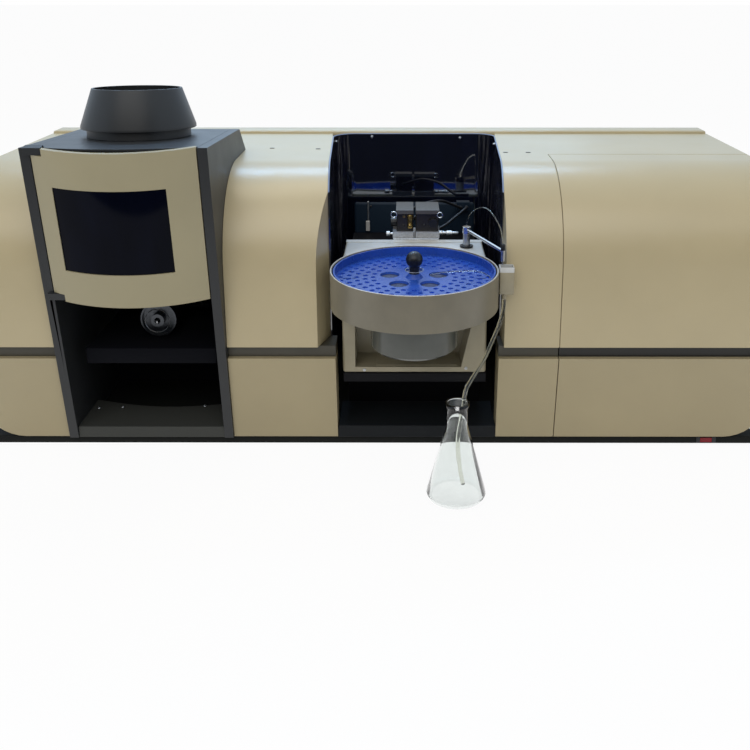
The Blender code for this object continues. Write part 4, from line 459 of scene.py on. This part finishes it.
def turned(name, profile, place, direction, look, body="housing", count=24):
    """A turned piece: (radius, height) pairs swept round a direction from a place."""
    turn = Vector(direction).to_track_quat("Z", "Y").to_matrix().to_4x4()
    move = Matrix.Translation(place) @ turn
    shape = bmesh.new()
    rings = []
    for radius, height in profile:
        if radius:
            circle = []
            for step in range(count):
                angle = math.tau * step / count
                spot = Vector((radius * math.cos(angle), radius * math.sin(angle), height))
                circle.append(shape.verts.new(move @ spot))
        else:
            circle = [shape.verts.new(move @ Vector((0, 0, height)))]
        rings.append(circle)
    for low, high in zip(rings, rings[1:]):
        for step in range(count):
            after = (step + 1) % count
            corners = [low[step % len(low)], low[after % len(low)], high[after % len(high)],
                       high[step % len(high)]]
            kept = []
            for corner in corners:
                if corner not in kept:
                    kept.append(corner)
            if len(kept) > 2:
                shape.faces.new(kept)
    bmesh.ops.recalc_face_normals(shape, faces=shape.faces)
    for face in shape.faces:
        face.smooth = True
    mesh = bpy.data.meshes.new(name)
    shape.to_mesh(mesh)
    shape.free()
    mesh.set_sharp_from_angle(angle=math.radians(40))
    return place_piece(name, mesh, look, body)


def screw(name, place, direction, radius, look="satin", body="housing"):
    """A low domed screw head with a socket in its middle, half sunk in its face."""
    rise = radius * 0.42
    turned(name, [(0, rise * 0.25), (radius * 0.34, rise * 0.25), (radius * 0.38, rise * 0.92),
                  (radius * 0.60, rise), (radius * 0.85, rise * 0.76), (radius, rise * 0.30),
                  (radius, -rise * 0.4), (0, -rise * 0.4)], place, direction, look, body, 18)


def screws(name, places, direction, radius, look="satin"):
    """A numbered set of equal screws on the housing."""
    for index, place in enumerate(places):
        screw("%s_%d" % (name, index + 1), place, direction, radius, look)


def pill(name, place, length, width, rise, look):
    """A low plug with round ends, lying along X on a level face of the housing."""
    half = (length - width) / 2
    end_steps = 16
    shape = bmesh.new()
    outline = []
    for step in range(end_steps + 1):
        angle = math.pi * step / end_steps - math.pi / 2
        outline.append((half + width / 2 * math.cos(angle), width / 2 * math.sin(angle)))
    outline += [(-x, -y) for x, y in outline]
    levels = ((1.0, -rise * 0.3), (1.0, rise * 0.6), (0.86, rise))
    rings = [[shape.verts.new((place[0] + x * share, place[1] + y * share, place[2] + level))
              for x, y in outline] for share, level in levels]
    for low, high in zip(rings, rings[1:]):
        for step in range(len(outline)):
            after = (step + 1) % len(outline)
            shape.faces.new((low[step], low[after], high[after], high[step]))
    shape.faces.new(rings[0][::-1])
    shape.faces.new(rings[-1])
    bmesh.ops.remove_doubles(shape, verts=shape.verts, dist=weld_distance)
    bmesh.ops.recalc_face_normals(shape, faces=shape.faces)
    mesh = bpy.data.meshes.new(name)
    shape.to_mesh(mesh)
    shape.free()
    soften(place_piece(name, mesh, look, "housing"), rise * 0.2)


def bar(name, low, high, look, round_by=0.0006):
    """A small bar on the housing between two corners, with rounded edges."""
    low = Vector(low)
    high = Vector(high)
    shape = bmesh.new()
    bmesh.ops.create_cube(shape, size=1)
    bmesh.ops.scale(shape, vec=high - low, verts=shape.verts)
    bmesh.ops.translate(shape, vec=(low + high) / 2, verts=shape.verts)
    mesh = bpy.data.meshes.new(name)
    shape.to_mesh(mesh)
    shape.free()
    soften(place_piece(name, mesh, look, "housing"), round_by)


def line(name, points, radius, look, body="housing", cyclic=False, resolution=3):
    """A round wire, bead or hose along a list of points."""
    curve = bpy.data.curves.new(name, "CURVE")
    curve.dimensions = "3D"
    curve.bevel_depth = radius
    curve.bevel_resolution = resolution
    curve.use_fill_caps = not cyclic
    spline = curve.splines.new("POLY")
    spline.points.add(len(points) - 1)
    for point, place in zip(spline.points, points):
        point.co = (*place, 1)
    spline.use_cyclic_u = cyclic
    spline.use_smooth = True
    made = bpy.data.objects.new(name, curve)
    scene.collection.objects.link(made)
    curve.materials.append(looks[look])
    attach(made, body)
    return made


def ring(name, place, radius, wire, look, body="housing", across="xy", count=28):
    """A closed wire ring about a place, level or upright."""
    points = []
    for step in range(count):
        angle = math.tau * step / count
        a = radius * math.cos(angle)
        b = radius * math.sin(angle)
        offset = (a, b, 0) if across == "xy" else (a, 0, b)
        points.append(Vector(place) + Vector(offset))
    return line(name, points, wire, look, body, True)


# Cords


def smooth_path(route, count):
    """Even points on a smooth curve through the route's own points."""
    stretch_steps = 16
    places = [Vector(point) for point in route]
    ends = [places[0] * 2 - places[1]] + places + [places[-1] * 2 - places[-2]]
    fine = []
    for index in range(1, len(ends) - 2):
        a, b, c, d = ends[index - 1:index + 3]
        for step in range(stretch_steps):
            t = step / stretch_steps
            fine.append(((b * 2) + (c - a) * t + (a * 2 - b * 5 + c * 4 - d) * t * t
                         + (b * 3 - a - c * 3 + d) * t * t * t) / 2)
    fine.append(places[-1])
    lengths = [0]
    for start, end in zip(fine, fine[1:]):
        lengths.append(lengths[-1] + (end - start).length)
    found = []
    at = 0
    for step in range(count):
        goal = lengths[-1] * step / (count - 1)
        while at < len(fine) - 2 and lengths[at + 1] < goal:
            at += 1
        span = lengths[at + 1] - lengths[at]
        share = min(max((goal - lengths[at]) / span, 0), 1)
        found.append(fine[at].lerp(fine[at + 1], share))
    return found


def cord(name, node, route, radius, count, look, body):
    """A cord along its route, in the place of its CAD solid."""
    path = smooth_path(route, count)
    made = line(name, path, radius, look, body, resolution=4)
    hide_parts(node)


def make_cords():
    """The drain hose, the sample capillary and the furnace's two power leads."""
    cord("drain_tubing", "drain_hose", [
        (0.1958744, -0.1555, 0.2597), (0.1958744, -0.1555, 0.2502), (0.1937452, -0.1575, 0.2360),
        (0.1865452, -0.1670, 0.2180), (0.1785452, -0.1790, 0.2045), (0.1690452, -0.1970, 0.1915),
        (0.1610452, -0.2100, 0.1815), (0.1505452, -0.2260, 0.1730), (0.1410452, -0.2420, 0.1655),
        (0.1345452, -0.2535, 0.1585), (0.1318452, -0.2605, 0.1460), (0.1318452, -0.2622, 0.1380),
        (0.1275452, -0.2640, 0.1150), (0.1240452, -0.2650, 0.0880), (0.1270452, -0.2655, 0.0500),
        (0.1330452, -0.2650, 0.0180)],
         radius=0.0030, count=40, look="hose", body="housing")
    cord("sample_tubing", "sample_capillary", [
        (0.1925744, -0.1530, 0.33525), (0.191892, -0.151185, 0.34729), (0.188024, -0.1409, 0.36752),
        (0.17483, -0.10581, 0.38328), (0.163, -0.07435, 0.37897), (0.15253, -0.04652, 0.36358),
        (0.14776, -0.033815, 0.34786), (0.1470744, -0.032, 0.3379)],
         radius=0.0007, count=40, look="hose", body="arm_swing")
    cord("upper_power_lead", "furnace_lead_upper", [
        (0.0487952, 0.0773, 0.33135), (0.0487952, 0.0873, 0.33135), (0.07932, 0.10172, 0.34229),
        (0.10985, 0.14014, 0.33924), (0.13223, 0.17285, 0.32553), (0.1505452, 0.1887, 0.3145),
        (0.1505452, 0.1987, 0.3145)],
         radius=0.0025, count=30, look="lead", body="housing")
    cord("lower_power_lead", "furnace_lead_lower", [
        (0.0955452, 0.0853, 0.2945), (0.0955452, 0.0953, 0.2945), (0.1183, 0.11899, 0.2995),
        (0.1378, 0.15301, 0.3055), (0.1605452, 0.1887, 0.3145), (0.1605452, 0.1987, 0.3145)],
         radius=0.0025, count=24, look="lead", body="housing")


make_cords()


# Fine pieces

# Levels and places on the CAD solids that several pieces share
deck_z = 0.4400
tray_x = 0.0627452
tray_y = -0.1570
jaw_front_y = 0.0210


def make_screws():
    """Screws and plugs that close and fix the sheet metal."""
    liner_rear_y = 0.2592
    liner_rear_radius = 0.0026
    liner_side_radius = 0.0024
    screws("liner_rear_screw", ((-0.0137, liner_rear_y, 0.4340), (0.1512, liner_rear_y, 0.4320)),
           (0, -1, 0.07), liner_rear_radius, "chrome")
    screw("liner_left_screw", (-0.0782, 0.2362, 0.4290), (0.90, -0.44, 0), liner_side_radius,
          "chrome")
    screw("liner_right_screw", (0.2111, 0.2254, 0.4262), (-1, -0.05, 0), liner_side_radius,
          "chrome")

    plug_length = 0.0085
    plug_width = 0.0040
    plug_rise = 0.0007
    plug_spots = ((-0.1780, 0.1030), (-0.0990, 0.0960), (0.2160, 0.0640), (0.2535, 0.0635))
    for index, (x, y) in enumerate(plug_spots):
        pill("deck_plug_%d" % (index + 1), (x, y, deck_z), plug_length, plug_width, plug_rise,
             "black")

    sampler_front_y = -0.1210
    sampler_radius = 0.0026
    screws("sampler_screw", ((-0.0140, sampler_front_y, 0.1310), (0.1436, sampler_front_y, 0.1340)),
           (0, -1, 0), sampler_radius)

    sill_z = 0.0345
    sill_radius = 0.0030
    screws("sill_screw", ((-0.4560, -0.0560, sill_z), (-0.4178, -0.0520, sill_z),
                          (-0.2825, -0.0480, sill_z)), (0, 0, 1), sill_radius)

    rear_y = 0.3062
    rear_x = 0.5900
    rear_low = 0.0300
    rear_high = 0.4300
    rear_radius = 0.0034
    screws("rear_screw", ((-rear_x, rear_y, rear_high), (rear_x, rear_y, rear_high),
                          (-rear_x, rear_y, rear_low), (rear_x, rear_y, rear_low),
                          (0, rear_y, rear_high), (0, rear_y, rear_low)),
           (0, 1, 0), rear_radius, "dark_metal")


def rounded(corner, before, after, radius):
    """Points on the arc that rounds a corner between two straight stretches."""
    steps = 8
    toward = (before - corner).normalized()
    away = (after - corner).normalized()
    half = toward.angle(away) / 2
    centre = corner + (toward + away).normalized() * radius / math.sin(half)
    start = corner + toward * radius / math.tan(half) - centre
    end = corner + away * radius / math.tan(half) - centre
    return [centre + start.slerp(end, step / steps).normalized() * radius
            for step in range(steps + 1)]


def make_rim():
    """A thin wire for the edge of the furnace bay's liner, up the covers' nose and round the rear, its
    pale blue tone a painted highlight.
    """
    nose_y = 0.0010
    nose_z = 0.2980
    nose_radius = 0.1417
    nose_flats = 14
    front_y = -0.0899
    rear_y = 0.2607
    left_front_x = -0.0665
    left_rear_x = -0.0850
    left_radius = 0.0390
    right_front_x = 0.1976
    right_rear_x = 0.2140
    right_radius = 0.0330
    wire = 0.0011

    # The nose is made of flats, so the rim has its points at the same angles, from its front end
    turn = math.radians(90) / nose_flats
    lowest = math.asin((nose_y - front_y) / nose_radius)
    angles = [lowest] + [turn * step for step in range(int(lowest / turn), -1, -1)]
    sides = []
    for front_x, rear_x, radius in ((left_front_x, left_rear_x, left_radius),
                                    (right_front_x, right_rear_x, right_radius)):
        side = []
        for angle in angles:
            y = nose_y - nose_radius * math.sin(angle)
            x = front_x + (rear_x - front_x) * (y - front_y) / (rear_y - front_y)
            side.append(Vector((x, y, nose_z + nose_radius * math.cos(angle))))
        rear_corner = Vector((rear_x, rear_y, nose_z + nose_radius))
        rear_middle = Vector(((left_rear_x + right_rear_x) / 2, rear_y, nose_z + nose_radius))
        sides.append(side + rounded(rear_corner, side[-1], rear_middle, radius))
    left, right = sides
    line("liner_rim", left + right[::-1], wire, "rim")


def make_rack_pieces():
    """Pads in the rack's bottle sockets, the lifting bail, and the rack's clear splash strip."""
    bottle_count = 5
    bottle_circle_radius = 0.038
    pad_z = 0.2898
    pad = [(0, 0.0004), (0.0060, 0.0004), (0.0068, 0.0009), (0.0130, 0.0009), (0.0137, 0.0004),
           (0.0138, -0.0026), (0, -0.0026)]
    for index in range(bottle_count):
        angle = math.tau * index / bottle_count + math.pi / 2
        spot = (tray_x + bottle_circle_radius * math.cos(angle),
                tray_y + bottle_circle_radius * math.sin(angle), pad_z)
        turned("socket_pad_%d" % (index + 1), pad, spot, (0, 0, 1), "socket", "carousel", 28)

    bail_z = 0.3049
    bail_radius = 0.0134
    bail_wire = 0.0004
    ring("knob_bail", (tray_x, tray_y, bail_z), bail_radius, bail_wire, "satin", "carousel")
    # A white bead on the tray's rim: partly the rim's pale edge, partly a painted highlight
    bead_z = 0.3069
    bead_radius = 0.1226
    bead_wire = 0.0008
    ring("tray_rim_bead", (tray_x, tray_y, bead_z), bead_radius, bead_wire, "white", count=96)

    strip_z = 0.2952
    strip_radius = 0.0010
    strip = [(0.0860, -0.1496, strip_z), (0.1087, -0.1350, strip_z), (0.1314, -0.1301, strip_z),
             (0.1500, -0.1290, strip_z), (0.1650, -0.1380, strip_z), (0.1730, -0.1580, strip_z),
             (0.1740, -0.1760, strip_z)]
    line("rack_splash_strip", smooth_path(strip, 36), strip_radius, "hose", "carousel")


def make_sampler_pieces():
    """The sampler's rear ledge, up to the furnace's base."""
    ledge_low = (-0.0475, -0.0016, 0.2985)
    ledge_high = (0.1746, 0.0118, 0.3040)
    bar("sampler_rear_ledge", ledge_low, ledge_high, "ivory", round_by=0.0008)


def make_furnace_pieces():
    """Ports, bolts, clips and fittings on the furnace head."""
    port = [(0, 0.0230), (0.0030, 0.0230), (0.0030, 0.0222), (0.0044, 0.0222), (0.0048, 0.0214),
            (0.0048, 0.0160), (0.0040, 0.0152), (0.0040, 0.0060), (0.0046, 0.0052),
            (0.0046, 0.0008), (0.0042, 0), (0, 0)]
    turned("brass_port", port, (0.0570, 0.0195, 0.3218), (0, 0, 1), "brass")
    disc = [(0, 0.0012), (0.0010, 0.0012), (0.0012, 0.0018), (0.0026, 0.0018), (0.0030, 0.0013),
            (0.0030, -0.0004), (0, -0.0004)]
    turned("brass_disc", disc, (0.0472, jaw_front_y, 0.3413), (0, -1, 0), "brass")

    bolt_z = 0.3262
    bolt_radius = 0.0022
    screw("jaw_bolt", (0.0459, jaw_front_y, bolt_z), (0, -1, 0), bolt_radius, "dark_metal")
    screw("jaw_bolt_right", (0.0805, jaw_front_y, bolt_z), (0, -1, 0), bolt_radius, "dark_metal",
          "furnace_jaw")

    clip_y = 0.0162
    clip_wire = 0.0009
    ring("left_clip_ring", (0.0305, clip_y, 0.3452), 0.0048, clip_wire, "chrome", across="xz")
    ring("right_clip_ring", (0.1060, clip_y, 0.3445), 0.0044, clip_wire, "chrome", "furnace_jaw",
         "xz")

    fitting_z = 0.3106
    thumb = [(0, 0.0114), (0.0030, 0.0114), (0.0044, 0.0104), (0.0044, 0.0052), (0.0036, 0.0044),
             (0.0022, 0.0040), (0.0022, 0), (0, 0)]
    turned("thumb_screw", thumb, (0.0285, 0.0240, fitting_z), (-1, 0, 0), "satin")
    fitting = [(0, 0.0320), (0.0018, 0.0320), (0.0024, 0.0312), (0.0024, 0.0220), (0.0040, 0.0212),
               (0.0040, 0.0120), (0.0030, 0.0112), (0.0030, 0.0060), (0.0042, 0.0052),
               (0.0042, 0), (0, 0)]
    turned("gas_fitting", fitting, (0.1055, 0.0290, fitting_z), (1, 0, 0), "satin", "furnace_jaw")


def make_panel_pieces():
    """The small conduit and the screws on the furnace bay's back panel."""
    panel_y = 0.2110
    behind_y = 0.2109
    block_top = 0.2850
    bar("conduit_block", (-0.0243, 0.2040, 0.2660), (-0.0169, behind_y, block_top), "white",
        round_by=0.0012)
    bar("conduit_strip", (-0.0212, 0.2078, block_top), (-0.0182, behind_y, 0.3220), "satin")
    screws("panel_screw", ((-0.0150, panel_y, 0.3120), (0.1000, panel_y, 0.3120)), (0, -1, 0),
           0.0022, "dark_metal")


def make_arm_pieces():
    """The needle's black cap, and the collar's grub screw."""
    cap = [(0.0012, 0.0083), (0.0022, 0.0083), (0.0032, 0.0066), (0.0036, 0.0002),
           (0.0036, -0.0010), (0.0012, -0.0010), (0.0012, 0.0083)]
    turned("needle_cap", cap, (0.1925744, -0.1530, 0.3352), (0, 0, 1), "black", "arm_swing", 18)
    screw("arm_grub_screw", (0.1404, -0.0320, 0.3325), (-1, 0, 0), 0.0014, "dark_metal",
          "arm_swing")


def make_nebulizer_pieces():
    """The thin bright bead round the nebulizer's dish, and its uptake port."""
    bead = [(0.0186, 0.0010), (0.0191, 0.0014), (0.0196, 0.0010), (0.0196, -0.0004),
            (0.0186, -0.0004), (0.0186, 0.0010)]
    turned("nebulizer_bead", bead, (-0.3430, -0.0773, 0.1955), (0, -1, 0), "satin", "burner", 40)
    port = [(0.0016, 0.0004), (0.0020, 0.0022), (0.0032, 0.0024), (0.0036, 0.0014),
            (0.0036, -0.0040), (0.0016, -0.0040), (0.0016, 0.0004)]
    turned("nebulizer_port", port, (-0.3466, -0.0740, 0.1925), (0, -1, 0), "chrome", "burner")


make_screws()
make_rim()
make_rack_pieces()
make_sampler_pieces()
make_furnace_pieces()
make_panel_pieces()
make_arm_pieces()
make_nebulizer_pieces()


# Floor and light


def seen_share(tree, share):
    """A factor that is the share for the camera, gloss and glass, and zero for other rays."""
    path = tree.nodes.new("ShaderNodeLightPath")
    both = combined(tree, "MAXIMUM", path.outputs["Is Camera Ray"], path.outputs["Is Glossy Ray"])
    every = combined(tree, "MAXIMUM", both, path.outputs["Is Transmission Ray"])
    return combined(tree, "MULTIPLY", every, share)


def make_floor():
    """A wide pale floor that the camera, gloss and glass see mostly as an even white."""
    half_width = 30
    made, tree, shader = new_material("pale_floor")
    shader.inputs["Roughness"].default_value = 0.9
    join(tree, ramp(tree, noise(tree, 3, 2), shades((0.90, 0.90, 0.90), 0.985)),
         shader.inputs["Base Color"])
    glow = tree.nodes.new("ShaderNodeEmission")
    mix = tree.nodes.new("ShaderNodeMixShader")
    join(tree, seen_share(tree, 0.95), mix.inputs["Fac"])
    join(tree, shader.outputs["BSDF"], mix.inputs[1])
    join(tree, glow.outputs["Emission"], mix.inputs[2])
    join(tree, mix.outputs["Shader"], tree.nodes["Material Output"].inputs["Surface"])
    shape = bmesh.new()
    bmesh.ops.create_grid(shape, x_segments=2, y_segments=2, size=half_width)
    mesh = bpy.data.meshes.new("floor")
    shape.to_mesh(mesh)
    shape.free()
    floor = bpy.data.objects.new("floor", mesh)
    scene.collection.objects.link(floor)
    mesh.materials.append(made)


def make_world():
    """Even surroundings: white to the eye and through glass, cool to gloss, weaker as a light."""
    world = bpy.data.worlds.new("studio")
    scene.world = world
    world.use_nodes = True
    tree = world.node_tree
    back = tree.nodes["Background"]
    back.inputs["Color"].default_value = (0.97, 0.97, 1.0, 1)
    back.inputs["Strength"].default_value = 0.46
    seen = tree.nodes.new("ShaderNodeBackground")
    rays = tree.nodes.new("ShaderNodeLightPath")
    join(tree, mixed(tree, rays.outputs["Is Glossy Ray"], (1, 1, 1), (0.72, 0.85, 1.0)),
         seen.inputs["Color"])
    mix = tree.nodes.new("ShaderNodeMixShader")
    join(tree, seen_share(tree, 1.0), mix.inputs["Fac"])
    join(tree, back.outputs["Background"], mix.inputs[1])
    join(tree, seen.outputs["Background"], mix.inputs[2])
    join(tree, mix.outputs["Shader"], tree.nodes["World Output"].inputs["Surface"])


def make_flag():
    """A dark studio cloth on the floor and wall in front of the object, seen in reflections only."""
    half_width = 4
    near_y = -0.85
    far_y = -3.8
    low = 0.003
    high = 2.6
    made, tree, shader = new_material("flag_cloth")
    shader.inputs["Roughness"].default_value = 0.9
    join(tree, ramp(tree, noise(tree, 5, 3), shades((0.010, 0.013, 0.024))),
         shader.inputs["Base Color"])
    mesh = bpy.data.meshes.new("studio_flag")
    corners = []
    for y, z in ((near_y, low), (far_y, low), (far_y, high)):
        corners += [(-half_width, y, z), (half_width, y, z)]
    mesh.from_pydata(corners, [], [(0, 2, 3, 1), (2, 4, 5, 3)])
    mesh.materials.append(made)
    flag = bpy.data.objects.new("studio_flag", mesh)
    scene.collection.objects.link(flag)
    flag.visible_camera = False
    flag.visible_diffuse = False
    flag.visible_transmission = False
    flag.visible_shadow = False


def lamp(name, place, target, width, height, power, colour):
    """A soft rectangular lamp that faces a point."""
    data = bpy.data.lights.new(name, "AREA")
    data.shape = "RECTANGLE"
    data.size = width
    data.size_y = height
    data.energy = power
    data.color = colour
    made = bpy.data.objects.new(name, data)
    made.location = place
    made.rotation_euler = (Vector(target) - Vector(place)).to_track_quat("-Z", "Y").to_euler()
    scene.collection.objects.link(made)


make_floor()
make_world()
make_flag()
lamp("ceiling_lamp", place=(-0.25, 1.25, 2.15), target=(0, 0.1, 0.4), width=1.9, height=0.24,
     power=29, colour=(0.38, 0.64, 1.0))
lamp("overhead_lamp", place=(-0.25, 0.20, 2.50), target=(0, 0, 0.4), width=1.9, height=0.4,
     power=8, colour=(1.0, 0.86, 0.66))
lamp("rear_lamp", place=(-0.2, 2.7, 1.35), target=(0, 0, 0.4), width=2.2, height=0.7,
     power=5, colour=(0.45, 0.72, 1.0))
lamp("front_lamp", place=(-0.35, -2.05, 2.10), target=(0, 0, 0.3), width=2.8, height=2.2,
     power=28, colour=(1.0, 0.96, 0.89))
scene.view_settings.view_transform = "Standard"
